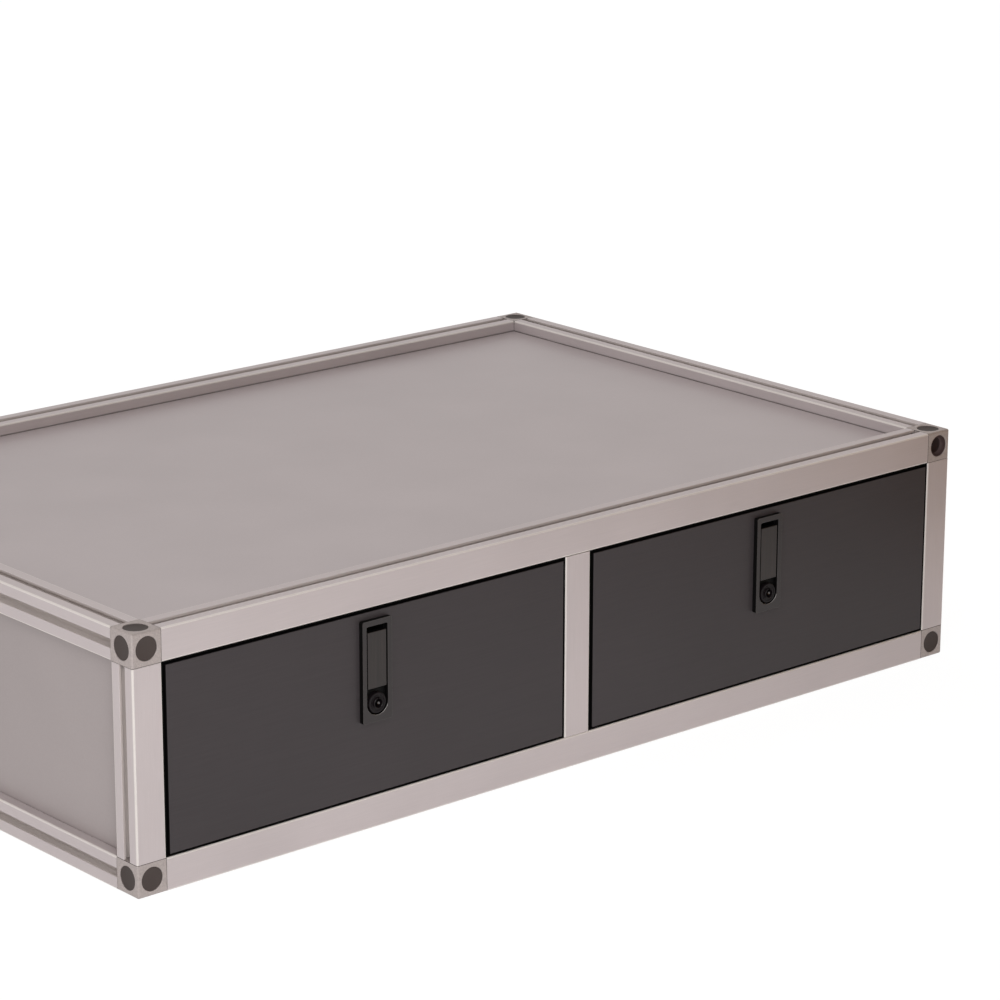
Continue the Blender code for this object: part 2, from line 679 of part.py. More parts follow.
def make_housing(side, centre, drawer, finish):
    """A raised rim over a cup: deep behind the lever, shallow round the lock, with guides for the bolt."""
    place = (centre, RIM_FACE_Y, LOCK_HEIGHT)
    half_rim = RIM_WIDTH / 2
    rim = box_outline((-half_rim, -LOCK_RISE), (half_rim, RIM_TOP), RIM_CORNER)
    rim_back = CLEARANCE - RIM_THICKNESS
    housing = prism(f"{side}_latch_housing", rim, rim_back, 0, FACING_FRONT, place, chamfer=RIM_CHAMFER)

    body_width = RECESS_WIDTH + 2 * CUP_WALL
    body_top = RECESS_TOP + CUP_WALL
    body = tongue_outline(body_width, body_top, RECESS_CORNER + CUP_WALL)
    body_back = -BOARD_BACK + CLEARANCE
    join(housing, prism("body", body, body_back, -RIM_THICKNESS / 2, FACING_FRONT, place))

    cup_low = LEVER_BOTTOM + KNUCKLE_HEIGHT
    cup_back = -RECESS_DEPTH - CUP_WALL
    cup_corner = RECESS_CORNER + CUP_WALL
    cup = box_outline((-body_width / 2, cup_low - CUP_WALL), (body_width / 2, body_top), cup_corner)
    join(housing, prism("cup", cup, cup_back, body_back + OVERRUN, FACING_FRONT, place))

    guide_depth = BOARD_BACK + BOLT_THICKNESS + 2 * CLEARANCE
    wall_x = centre - body_width / 2
    hook_x = wall_x - 2 * BOLT_SIDE_GAP - BOLT_WIDTH - GUIDE_SHEET
    hook = [
        (wall_x + CUP_WALL / 2, guide_depth),
        (wall_x + CUP_WALL / 2, guide_depth + GUIDE_SHEET),
        (hook_x, guide_depth + GUIDE_SHEET),
        (hook_x, BOARD_BACK + CLEARANCE),
        (hook_x + GUIDE_SHEET, BOARD_BACK + CLEARANCE),
        (hook_x + GUIDE_SHEET, guide_depth),
    ]
    for share in GUIDE_HEIGHT_SHARES:
        height = LOCK_HEIGHT + cup_low + (RECESS_TOP - cup_low) * share
        at_guide = (0, RIM_FACE_Y, height - GUIDE_WIDTH / 2)
        join(housing, prism("guide", hook, 0, GUIDE_WIDTH, ALONG_Z, at_guide))

    sunk = tongue_outline(RECESS_WIDTH, RECESS_TOP, RECESS_CORNER)
    cut(housing, prism("sunk", sunk, -LOCK_FLOOR_DEPTH, OVERRUN, FACING_FRONT, place))
    half_recess = RECESS_WIDTH / 2
    knuckle = [(-half_recess, LEVER_BOTTOM - 2 * CLEARANCE), (half_recess, cup_low + OVERRUN)]
    cut(housing, prism("knuckle", box_outline(*knuckle), -KNUCKLE_DEPTH, OVERRUN, FACING_FRONT, place))
    deep = box_outline((-half_recess, cup_low), (half_recess, RECESS_TOP), RECESS_CORNER)
    cut(housing, prism("deep", deep, -RECESS_DEPTH, OVERRUN, FACING_FRONT, place))
    bore = circle(BARREL_DIAMETER + 2 * CLEARANCE)
    cut(housing, prism("bore", bore, -BOARD_BACK - OVERRUN, OVERRUN, FACING_FRONT, place))
    pin_hole = circle(LEVER_PIN_DIAMETER + 2 * CLEARANCE, PIN_STEPS)
    reach = half_recess + LEVER_PIN_REACH
    at_pivot = (centre, RIM_FACE_Y + PIVOT_DEPTH, LOCK_HEIGHT + PIVOT_RISE)
    cut(housing, prism("pin_hole", pin_hole, -reach, reach, ALONG_X, at_pivot))
    hang(dress(housing, finish), drawer)


def make_lever(side, centre, drawer, finish):
    """The folding lever, its origin on its pivot, with a finger lip at the top and a pin through its foot."""
    half = LEVER_THICKNESS / 2
    top = LEVER_TOP - PIVOT_RISE
    outline = arc((0, 0), half, math.pi, 2 * math.pi, PIN_STEPS)
    outline += [
        (half, top - FINGER_LIP_HEIGHT),
        (half + FINGER_LIP_DEPTH, top - FINGER_LIP_HEIGHT + FINGER_LIP_DEPTH),
        (half + FINGER_LIP_DEPTH, top),
    ]
    outline += arc((LEVER_EDGE - half, top - LEVER_EDGE), LEVER_EDGE, math.pi / 2, math.pi, CORNER_STEPS)
    place = (centre, RIM_FACE_Y + PIVOT_DEPTH, LOCK_HEIGHT + PIVOT_RISE)
    half_width = RECESS_WIDTH / 2 - CLEARANCE
    lever = prism(f"{side}_latch_lever", outline, -half_width, half_width, ALONG_X, place)
    reach = half_width + LEVER_PIN_REACH
    join(lever, prism("pin", circle(LEVER_PIN_DIAMETER, PIN_STEPS), -reach, reach, ALONG_X, place))
    hang(dress(lever, finish), drawer)


def make_lock(side, centre, drawer, finish):
    """The key lock: a round head with a ring keyway round a post, and a pinion on the barrel's tail."""
    place = (centre, RIM_FACE_Y, LOCK_HEIGHT)
    face = -LOCK_HEAD_SUNK
    head = LOCK_HEAD_DIAMETER / 2
    head_back = CLEARANCE - LOCK_FLOOR_DEPTH
    ring = LOCK_RING_DIAMETER / 2
    keyway = KEYWAY_DIAMETER / 2
    post = KEY_POST_DIAMETER / 2
    barrel = BARREL_DIAMETER / 2
    tail = TAIL_DIAMETER / 2
    gear_front = -BOARD_BACK - CLEARANCE
    gear_back = gear_front - BOLT_THICKNESS
    tail_end = gear_back - TAIL_LENGTH
    profile = [
        (0, face - KEY_POST_SUNK),
        (post, face - KEY_POST_SUNK),
        (post, face - KEYWAY_DEPTH),
        (keyway, face - KEYWAY_DEPTH),
        (keyway, face),
        (ring - LOCK_RING_WIDTH, face),
        (ring - LOCK_RING_WIDTH, face - LOCK_RING_DEPTH),
        (ring, face - LOCK_RING_DEPTH),
        (ring, face),
        (head - LOCK_HEAD_EDGE, face),
        (head, face - LOCK_HEAD_EDGE),
        (head, head_back),
        (barrel, head_back),
        (barrel, gear_front + CLEARANCE),
        (tail, gear_front + CLEARANCE),
        (tail, tail_end),
        (0, tail_end),
    ]
    lock = turned(f"{side}_key_lock", profile, FACING_FRONT, place)
    join(lock, prism("pinion", pinion_outline(), gear_back, gear_front, FACING_FRONT, place))
    half_notch = KEY_NOTCH_WIDTH / 2
    notch = box_outline((-half_notch, (keyway + post) / 2), (half_notch, keyway + KEY_NOTCH_REACH))
    cut(lock, prism("notch", notch, face - KEYWAY_DEPTH / 2, face + OVERRUN, FACING_FRONT, place))
    hang(dress(lock, finish), drawer)


def make_bolt(side, centre, drawer, finish):
    """A flat bolt beside the cup, its foot cut into a rack that the lock's pinion drives upwards."""
    turns = round(BOLT_THROW / RACK_PITCH)
    inner = -RECESS_WIDTH / 2 - CUP_WALL - BOLT_SIDE_GAP
    outer = inner - BOLT_WIDTH
    top = FRONT_TOP - BOLT_TOP_MARGIN - LOCK_HEIGHT
    foot_low = -(turns + 1) * RACK_PITCH
    outline = [(outer, foot_low)]
    outline += rack_teeth(-turns - 1, 1)
    outline += [
        (inner, RACK_PITCH),
        (inner, top - BOLT_CHAMFER),
        (inner - BOLT_CHAMFER, top),
        (outer + BOLT_CHAMFER, top),
        (outer, top - BOLT_CHAMFER),
    ]
    place = (centre, RIM_FACE_Y, LOCK_HEIGHT)
    front = -BOARD_BACK - CLEARANCE
    bolt = prism(f"{side}_lock_bolt", outline, front - BOLT_THICKNESS, front, FACING_FRONT, place)
    hang(dress(bolt, finish), drawer)


def make_drawer(side, centre, finishes):
    drawer = pivot(f"{side}_drawer_slide", (centre, FRONT_Y, TRAY_MIDDLE_HEIGHT))
    middles = pivot(f"{side}_middle_slide", (centre, SLIDE_FRONT_Y, TRAY_MIDDLE_HEIGHT))
    make_slides(side, centre, drawer, middles, finishes["steel"])
    make_front(side, centre, drawer, finishes["front"])
    make_tray(side, centre, drawer, finishes["tray"])
    make_housing(side, centre, drawer, finishes["latch"])
    make_lever(side, centre, drawer, finishes["latch"])
    make_lock(side, centre, drawer, finishes["lock"])
    make_bolt(side, centre, drawer, finishes["steel"])


def main():
    clear_scene()
    finishes = make_materials()
    side_x, end_y, level_z = make_frame(finishes["aluminium"])
    make_corners(side_x, end_y, level_z, finishes["cast"], finishes["cap"])
    make_panels(side_x, end_y, level_z, finishes["panel"])
    for side, centre in (("left", -BAY_CENTRE), ("right", BAY_CENTRE)):
        make_drawer(side, centre, finishes)


main()
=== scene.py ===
"""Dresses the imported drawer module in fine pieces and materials, and sets its light and camera."""

import json
import math

import bmesh
import bpy
from mathutils import Matrix, Quaternion, Vector


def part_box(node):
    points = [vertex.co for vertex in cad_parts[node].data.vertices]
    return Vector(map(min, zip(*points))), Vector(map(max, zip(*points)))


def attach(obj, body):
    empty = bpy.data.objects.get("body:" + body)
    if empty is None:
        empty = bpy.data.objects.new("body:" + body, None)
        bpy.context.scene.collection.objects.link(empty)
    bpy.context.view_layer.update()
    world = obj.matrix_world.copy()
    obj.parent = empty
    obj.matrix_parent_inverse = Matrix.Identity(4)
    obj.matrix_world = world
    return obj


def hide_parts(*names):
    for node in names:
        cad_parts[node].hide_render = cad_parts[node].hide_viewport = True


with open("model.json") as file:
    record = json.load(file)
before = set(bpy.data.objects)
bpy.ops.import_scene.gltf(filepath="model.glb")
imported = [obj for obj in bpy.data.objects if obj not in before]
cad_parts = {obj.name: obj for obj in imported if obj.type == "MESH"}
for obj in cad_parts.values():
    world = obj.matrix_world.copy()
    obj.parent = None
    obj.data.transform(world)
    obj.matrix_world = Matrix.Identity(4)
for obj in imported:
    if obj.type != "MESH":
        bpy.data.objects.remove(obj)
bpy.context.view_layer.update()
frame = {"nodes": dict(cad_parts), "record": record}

# Camera, and area lamps by place, aim, size and power
CAMERA_PLACE = (-2.1446, -2.6795, 1.1923)
CAMERA_AIM = (0.62956, 0.72387, -0.28225)
CAMERA_ROLL = 0.00246
CAMERA_LENS = 132.34
CAMERA_SENSOR = 36
KEY_PLACE = (-1.0, -1.55, 0.28)
KEY_AIM = (-0.4, -0.2, 0.12)
KEY_SIZE = (0.7, 0.7)
KEY_POWER = 2.4
HIGH_PLACE = (-1.0, -1.3, 0.85)
HIGH_AIM = (-0.2, 0, 0.2)
HIGH_SIZE = (0.5, 0.5)
HIGH_POWER = 5.8
LOW_PLACE = (-0.2, -0.56, 0.014)
LOW_AIM = (-0.2, -0.322, 0.018)
LOW_SIZE = (0.9, 0.02)
LOW_POWER = 0.22

# Sky, its light by height and by how far it lies towards the dark side
WHITE = (1, 1, 1, 1)
SKY_COLOUR = (1, 0.97, 0.95, 1)
HORIZON_LIGHT = 0.95
ZENITH_LIGHT = 0.75
SKY_HEIGHTS = (0.15, 0.7)
DARK_SIDE = (0.62, -0.72, 0.31)
DARK_SIDE_COSINES = (0.4, 0.95)
DARK_SIDE_LIGHT = 0.35

# Floor, and a warm card that stands beside the object out of sight
FLOOR_SIZE = 40
FLOOR_COLOUR = (0.9, 0.9, 0.9, 1)
FLOOR_GLOW = 1.06
FLOOR_GLOW_SHARE = 0.90
CARD_X = 0.80
CARD_NEAR_Y = -0.3
CARD_FAR_Y = -2.2
CARD_HEIGHT = 1.2
CARD_COLOUR = (0.28, 0.14, 0.025, 1)

# Fine grain, broad clouds, speckles, and edges partly rubbed and partly lit by a painted highlight, of the
# materials
GRAIN_DETAIL = 3.0
GRAIN_ROUGHNESS = 0.6
NOISE_RANGE = (0.3, 0.7)
CLOUD_SCALE = 9.0
CLOUD_DETAIL = 2.0
CLOUD_SHARES = (0.97, 1.03)
SPECKLE_SCALE = 900.0
WEAR_AND_SHEEN_COSINES = (0.98, 0.8)
WEAR_AND_SHEEN_SAMPLES = 4
BRUSHED = 0.02
FINELY_BRUSHED = 0.015

# Corner cubes and caps
CUBE_RADIUS = 0.0019
CUBE_SEAM = 0.00016
CUBE_JOINT_EDGE = 0.00042
POCKET_DIAMETER = 0.0216
POCKET_DEPTH = 0.0016
DEEP_POCKET_DEPTH = 0.0070
POCKET_EDGE = 0.0003
CAP_DIAMETER = 0.0211
CAP_RIM_SUNK = 0.0005
CAP_DISH = 0.0007
DEEP_CAP_WELL = 0.0060
DEEP_CAP = "front_right_top_corner_cap_y"
DEEP_CAP_ROUND = 0.004
CAP_LIP = 0.0008
DISH_SHARES = (1, 0.95, 0.9, 0.8, 0.6, 0.4, 0.2, 0)
OVERRUN = 0.002

# Extrusions: their eased edges, how far in their slots begin and how far their rounding reaches
ARRIS = 0.00045
SLOT_INSET = 0.0006
EDGE_REACH = 0.0016

# Mouth of a bay, the black strip of painted shade round it and the bead of painted shade round the top
# panel
BAY_INNER = 0.0152
BAY_OUTER = 0.4648
BAY_LOW = 0.0302
BAY_HIGH = 0.2038
SHADE_STRIP = 0.0009
SHADE_STRIP_FRONT = 0.3213
SHADE_STRIP_BACK = 0.3117
BEAD = 0.001
BEAD_RISE = 0.0004
BEAD_SUNK = 0.0002

# Latch, measured from its rim's face inwards and up from the lock's centre
RIM_FACE_Y = -0.328
BOARD_BACK_Y = -0.3112
LOCK_HEIGHT = 0.118
RIM_HALF_WIDTH = 0.0163
RIM_LOW = -0.017
RIM_TOP = 0.0766
RIM_BACK = 0.0047
RIM_CORNER = 0.0015
OPENING_HALF_WIDTH = 0.0117
OPENING_TOP = 0.0714
OPENING_LOW = -0.0109
RIM_EDGE = 0.0009
RECESS_HALF_WIDTH = 0.0105
RECESS_TOP = 0.070
RECESS_CORNER = 0.0015
RECESS_EDGE = 0.0005
RIM_PLATE = 0.0008
RECESS_DEPTH = 0.020
BODY_BACK = 0.0167
BODY_WALL = 0.002
KNUCKLE_LOW = 0.0134
KNUCKLE_DEPTH = 0.010
CUP_LOW = 0.022
CUP_BACK = 0.022
BARREL_DIAMETER = 0.0124
BORE_GAP = 0.0003
GUIDE_PLACES = (0.0388, 0.0628)
GUIDE_HALF_WIDTH = 0.003
GUIDE_FRONT = 0.0173
GUIDE_DEPTH = 0.0206
GUIDE_SHEET = 0.0015
GUIDE_REACH = 0.0232

# Lever
LEVER_HALF_WIDTH = 0.0104
LEVER_SUNK = 0.0004
PIVOT_DEPTH = 0.0026
PIVOT_RADIUS = 0.0016
LEVER_FOOT_RADIUS = 0.0005
LEVER_BOTTOM = 0.014
LEVER_TOP = 0.0658
LEVER_EDGE = 0.0006
FINGER_LIP_HEIGHT = 0.007
FINGER_LIP_DEPTH = 0.002
LEVER_PIN_DIAMETER = 0.002
LEVER_PIN_REACH = 0.0130

# Key lock
HEAD_DIAMETER = 0.019
HEAD_SUNK = 0.0002
HEAD_EDGE = 0.0006
HEAD_BACK = 0.0042
RING_DIAMETER = 0.0150
RING_WIDTH = 0.0006
RING_DEPTH = 0.0005
KEYWAY_DIAMETER = 0.0082
KEYWAY_DEPTH = 0.0062
COLLAR_DIAMETER = 0.0104
COLLAR = 0.0018
COLLAR_EDGE = 0.0004
KEY_NOTCH_HALF_WIDTH = 0.0008
KEY_NOTCH_LOW = 0.0030
KEY_NOTCH_HIGH = 0.0056
POST_DIAMETER = 0.0030
POST_RAISED = 0.0010
POST_DIMPLE = 0.0007
DIMPLE_SHARES = (0, 0.25, 0.5, 0.75, 0.9)
TAIL_DIAMETER = 0.0068
GEAR_FRONT = 0.0173
GEAR_BACK = 0.0203
TAIL_END = 0.0223
GEAR_MODULE = 0.001
GEAR_TEETH = 12
GEAR_PRESSURE = math.radians(25)
GEAR_BACKLASH = 0.00015
GEAR_DEDENDUM_SHARE = 1.25
FLANK_SHARES = (0, 0.25, 0.5, 0.75, 1)

# Ball slides, each row by height over and under the middle, distance from the wall and front end
SLIDE_MIDDLE_HEIGHT = 0.113
SLIDE_GAP = 0.0003
BAY_CENTRE = 0.24
BAY_HALF_WIDTH = 0.225
OUTER_ROW = (0.01995, 0.0055, 0.02)
INNER_ROW = (0.01535, 0.0076, -0.28)
BALL_DIAMETER = 0.0032
BALL_PITCH = 0.013
CAGE_BALLS = 10
CAGE_HALF_WIDTH = 0.0019
CAGE_CORNER = 0.0008
CAGE_SHEET = 0.0008

# Webs of the slides' members, their slots, and which members of which bodies have them
MIDDLE_WEB = 0.0025
INNER_WEB = 0.0121
SLIDE_SHEET = 0.0012
SLIDE_SLOT_PLACES = (-0.275, -0.19, -0.13, -0.07, 0.04, 0.10, 0.16, 0.27)
SLIDE_SLOT_LENGTH = 0.0132
SLIDE_SLOT_WIDTH = 0.0046
SLIDE_SLOT_REACH = 0.001
SLOTTED_MEMBERS = (("middle", MIDDLE_WEB, "middle_slides"), ("inner", INNER_WEB, "drawer"))

# Trays, their screws and nuts
NUT_DIAMETER = 0.0081
NUT_HEIGHT = 0.0022
THREAD_DIAMETER = 0.0040
THREAD_SUNK = 0.0014
TRAY_HALF_WIDTH = 0.2117
TRAY_SHEET = 0.0015
TRAY_LIP = 0.012
TRAY_FRONT_Y = -0.3107
SLIDE_SCREW_PLACES = (-0.24, -0.02, 0.22)
BOARD_SCREW_PLACES = (0.066, 0.160)
SCREW_HEAD = 0.0070
SCREW_RISE = 0.0018
SCREW_SEAT = 0.0002
SCREW_SOCKET = 0.0029
SCREW_SOCKET_DEPTH = 0.0012
SCREW_CROWN_SHARES = (0, 0.3, 0.55, 0.75, 0.9, 1)

# Facets of round forms
CORNER_STEPS = 8
ROUND_STEPS = 64
PIN_STEPS = 24
EDGE_STEPS = 4
CUBE_EDGE_STEPS = 6
RECESS_EDGE_STEPS = 3
FINE_EDGE_STEPS = 2
BALL_SEGMENTS = 16
BALL_RINGS = 10
HEXAGON = 6
ROUND_PROFILE = 0.5

# Angles that count as sharp, points close enough to weld, and edges short enough to drop
SHARP_ANGLE = math.radians(38)
BEVEL_ANGLE = math.radians(50)
WELD = 0.00001
SLIVER = 0.000003

# Cosines that tell which way a face looks
FLAT_COSINE = 0.99
EASED_COSINE = 0.95
FLOOR_COSINE = 0.8
HALFWAY_COSINE = 0.5
TURNED_COSINE = 0.3
SIDEWAYS_COSINE = 0.1

# Where a shape's own axes u, v and w point in the world
ALONG_X = Matrix(((0, 0, 1), (1, 0, 0), (0, 1, 0)))
ALONG_Y = Matrix(((0, 1, 0), (0, 0, 1), (1, 0, 0)))
ALONG_Z = Matrix.Identity(3)
FACING_FRONT = Matrix(((1, 0, 0), (0, 0, -1), (0, 1, 0)))


# Outlines, as lists of (u, v) points counterclockwise


def arc(centre, radius, start, end, steps):
    """Points on a circle from one angle to another, both ends included."""
    points = []
    for step in range(steps + 1):
        angle = start + (end - start) * step / steps
        points.append((centre[0] + radius * math.cos(angle), centre[1] + radius * math.sin(angle)))
    return points


def circle(diameter, steps=ROUND_STEPS):
    return arc((0, 0), diameter / 2, 0, 2 * math.pi, steps)[:-1]


def box_outline(low, high, radius=0):
    """A rectangle between two corners, with rounded corners if a radius is given."""
    if not radius:
        return [low, (high[0], low[1]), high, (low[0], high[1])]
    centres = (
        (high[0] - radius, high[1] - radius),
        (low[0] + radius, high[1] - radius),
        (low[0] + radius, low[1] + radius),
        (high[0] - radius, low[1] + radius),
    )
    points = []
    for turn, centre in enumerate(centres):
        start = turn * math.pi / 2
        points += arc(centre, radius, start, start + math.pi / 2, CORNER_STEPS)
    return points


def tongue_outline(half, top, corner, low=None):
    """An upright outline with a round bottom, centred on the origin and flattened if a low is given."""
    share = -low / half if low else 1
    points = [(u, v * share) for u, v in arc((0, 0), half, math.pi, 2 * math.pi, ROUND_STEPS // 2)]
    points += arc((half - corner, top - corner), corner, 0, math.pi / 2, CORNER_STEPS)
    points += arc((corner - half, top - corner), corner, math.pi / 2, math.pi, CORNER_STEPS)
    return points


def involute(angle):
    return math.tan(angle) - angle


def pinion_outline():
    """An involute gear's section, with a tooth centred on +u."""
    pitch_radius = GEAR_MODULE * GEAR_TEETH / 2
    base = pitch_radius * math.cos(GEAR_PRESSURE)
    root = pitch_radius - GEAR_DEDENDUM_SHARE * GEAR_MODULE
    tip = pitch_radius + GEAR_MODULE
    half_tooth = (math.pi * GEAR_MODULE - GEAR_BACKLASH) / (4 * pitch_radius) + involute(GEAR_PRESSURE)
    flank = [(root, half_tooth)]
    for share in FLANK_SHARES:
        radius = base + (tip - base) * share
        flank.append((radius, half_tooth - involute(math.acos(min(base / radius, 1)))))
    points = []
    for tooth in range(GEAR_TEETH):
        centre = tooth * 2 * math.pi / GEAR_TEETH
        for radius, half_angle in flank:
            points.append((radius * math.cos(centre - half_angle), radius * math.sin(centre - half_angle)))
        for radius, half_angle in reversed(flank):
            points.append((radius * math.cos(centre + half_angle), radius * math.sin(centre + half_angle)))
    return points


# Meshes, built where they stand


def added(name, data):
    """A new object in the scene."""
    made = bpy.data.objects.new(name, data)
    bpy.context.scene.collection.objects.link(made)
    return made


def finished(shape, name, axes, place):
    """An object from a closed bmesh, turned and moved into place, its faces outwards and smooth."""
    bmesh.ops.recalc_face_normals(shape, faces=shape.faces)
    shape.transform(Matrix.Translation(place) @ axes.to_4x4())
    mesh = bpy.data.meshes.new(name)
    shape.to_mesh(mesh)
    shape.free()
    made = added(name, mesh)
    smooth(made)
    return made


def smooth(item):
    item.data.shade_smooth()
    item.data.set_sharp_from_angle(angle=SHARP_ANGLE)


def round_edges(shape, radius, chosen, steps=EDGE_STEPS):
    """Rounds the sharp edges that the chosen test picks by their middle point."""
    edges = []
    for edge in shape.edges:
        if len(edge.link_faces) != 2 or edge.calc_face_angle() < BEVEL_ANGLE:
            continue
        if chosen((edge.verts[0].co + edge.verts[1].co) / 2):
            edges.append(edge)
    bmesh.ops.bevel(
        shape,
        geom=edges,
        offset=radius,
        segments=steps,
        profile=ROUND_PROFILE,
        affect="EDGES",
        clamp_overlap=True,
    )


def solid(outline, low, high, holes=()):
    """A bmesh of an outline, less its holes, extruded along w."""
    shape = bmesh.new()
    edges = []
    for loop in (outline, *holes):
        corners = [shape.verts.new((u, v, low)) for u, v in loop]
        edges += [shape.edges.new(pair) for pair in zip(corners, corners[1:] + corners[:1])]
        if not holes:
            shape.faces.new(corners)
    if holes:
        bmesh.ops.triangle_fill(shape, use_beauty=True, use_dissolve=False, edges=edges)
    grown = bmesh.ops.extrude_face_region(shape, geom=shape.faces[:], use_keep_orig=True)
    moved = [item for item in grown["geom"] if isinstance(item, bmesh.types.BMVert)]
    bmesh.ops.translate(shape, vec=(0, 0, high - low), verts=moved)
    bmesh.ops.recalc_face_normals(shape, faces=shape.faces)
    return shape


def prism(name, outline, low, high, axes=ALONG_Z, place=(0, 0, 0), holes=()):
    return finished(solid(outline, low, high, holes), name, axes, place)


def turned(name, profile, axes, place, steps=ROUND_STEPS):
    """A profile of (radius, w) points, from axis to axis, spun into a solid."""
    shape = bmesh.new()
    corners = [shape.verts.new((radius, 0, w)) for radius, w in profile]
    edges = [shape.edges.new(pair) for pair in zip(corners, corners[1:])]
    bmesh.ops.spin(
        shape, geom=corners + edges, cent=(0, 0, 0), axis=(0, 0, 1), angle=2 * math.pi, steps=steps
    )
    bmesh.ops.remove_doubles(shape, verts=shape.verts, dist=WELD)
    return finished(shape, name, axes, place)


def combine(target, tool, operation):
    """Cuts or joins one solid with another, and leaves only the result, without slivers."""
    step = target.modifiers.new(tool.name, "BOOLEAN")
    step.operation = operation
    step.solver = "EXACT"
    step.object = tool
    bpy.context.view_layer.update()
    result = target.evaluated_get(bpy.context.evaluated_depsgraph_get())
    mesh = bpy.data.meshes.new_from_object(result)
    target.modifiers.clear()
    target.data = mesh
    shape = bmesh.new()
    shape.from_mesh(mesh)
    bmesh.ops.dissolve_degenerate(shape, dist=SLIVER, edges=shape.edges)
    shape.to_mesh(mesh)
    shape.free()
    bpy.data.objects.remove(tool, do_unlink=True)
    smooth(target)


def cut(target, tool):
    combine(target, tool, "DIFFERENCE")


def join(target, tool):
    combine(target, tool, "UNION")


def gather(target, *others):
    """Puts several closed shells in one object."""
    shape = bmesh.new()
    for item in (target, *others):
        shape.from_mesh(item.data)
    shape.to_mesh(target.data)
    shape.free()
    for item in others:
        bpy.data.objects.remove(item, do_unlink=True)
    smooth(target)
    return target


def dress(piece, body, coat):
    """Gives a new piece its body and its material."""
    piece.data.materials.clear()
    piece.data.materials.append(coat)
    normals = piece.modifiers.new("even_normals", "WEIGHTED_NORMAL")
    normals.keep_sharp = True
    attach(piece, body)
    return piece


def paint(piece, coat_of, *more_coats):
    """Gives a piece further materials, and each face the one whose number a test returns."""
    for coat in more_coats:
        piece.data.materials.append(coat)
    for face in piece.data.polygons:
        face.material_index = int(coat_of(face))


def is_sloped(face):
    """True unless the face looks along an axis."""
    return max(abs(part) for part in face.normal) < FLAT_COSINE


# Materials


def add(tree, kind, inputs=None, **settings):
    """A node with its settings, its values and its links from other nodes' sockets."""
    made = tree.nodes.new(kind)
    for key, value in settings.items():
        setattr(made, key, value)
    for key, value in (inputs or {}).items():
        if isinstance(value, bpy.types.NodeSocket):
            tree.links.new(value, made.inputs[key])
        else:
            made.inputs[key].default_value = value
    return made


def remap(tree, value, source, target=(0, 1), **settings):
    """A value moved from one range into another."""
    inputs = {
        "Value": value,
        "From Min": source[0],
        "From Max": source[1],
        "To Min": target[0],
        "To Max": target[1],
    }
    return add(tree, "ShaderNodeMapRange", inputs, **settings).outputs["Result"]


def calculated(tree, operation, first, second):
    """Two numbers, multiplied or put through another operation."""
    return add(tree, "ShaderNodeMath", {0: first, 1: second}, operation=operation).outputs["Value"]


def blend(tree, share, first, second):
    """A colour between two others."""
    inputs = {"Factor": share, "A": first, "B": second}
    return add(tree, "ShaderNodeMix", inputs, data_type="RGBA").outputs["Result"]


def scaled(tree, colour, share):
    """A colour made lighter or darker."""
    inputs = {0: colour, "Scale": share}
    return add(tree, "ShaderNodeVectorMath", inputs, operation="SCALE").outputs["Vector"]


def alignment(tree, first, second):
    """The cosine between two directions."""
    inputs = {0: first, 1: second}
    return add(tree, "ShaderNodeVectorMath", inputs, operation="DOT_PRODUCT").outputs["Value"]


def shades(colour, spread):
    """The darker and the lighter colour round a middle one."""
    return [(*[part * share for part in colour], 1) for share in (1 - spread, 1 + spread)]


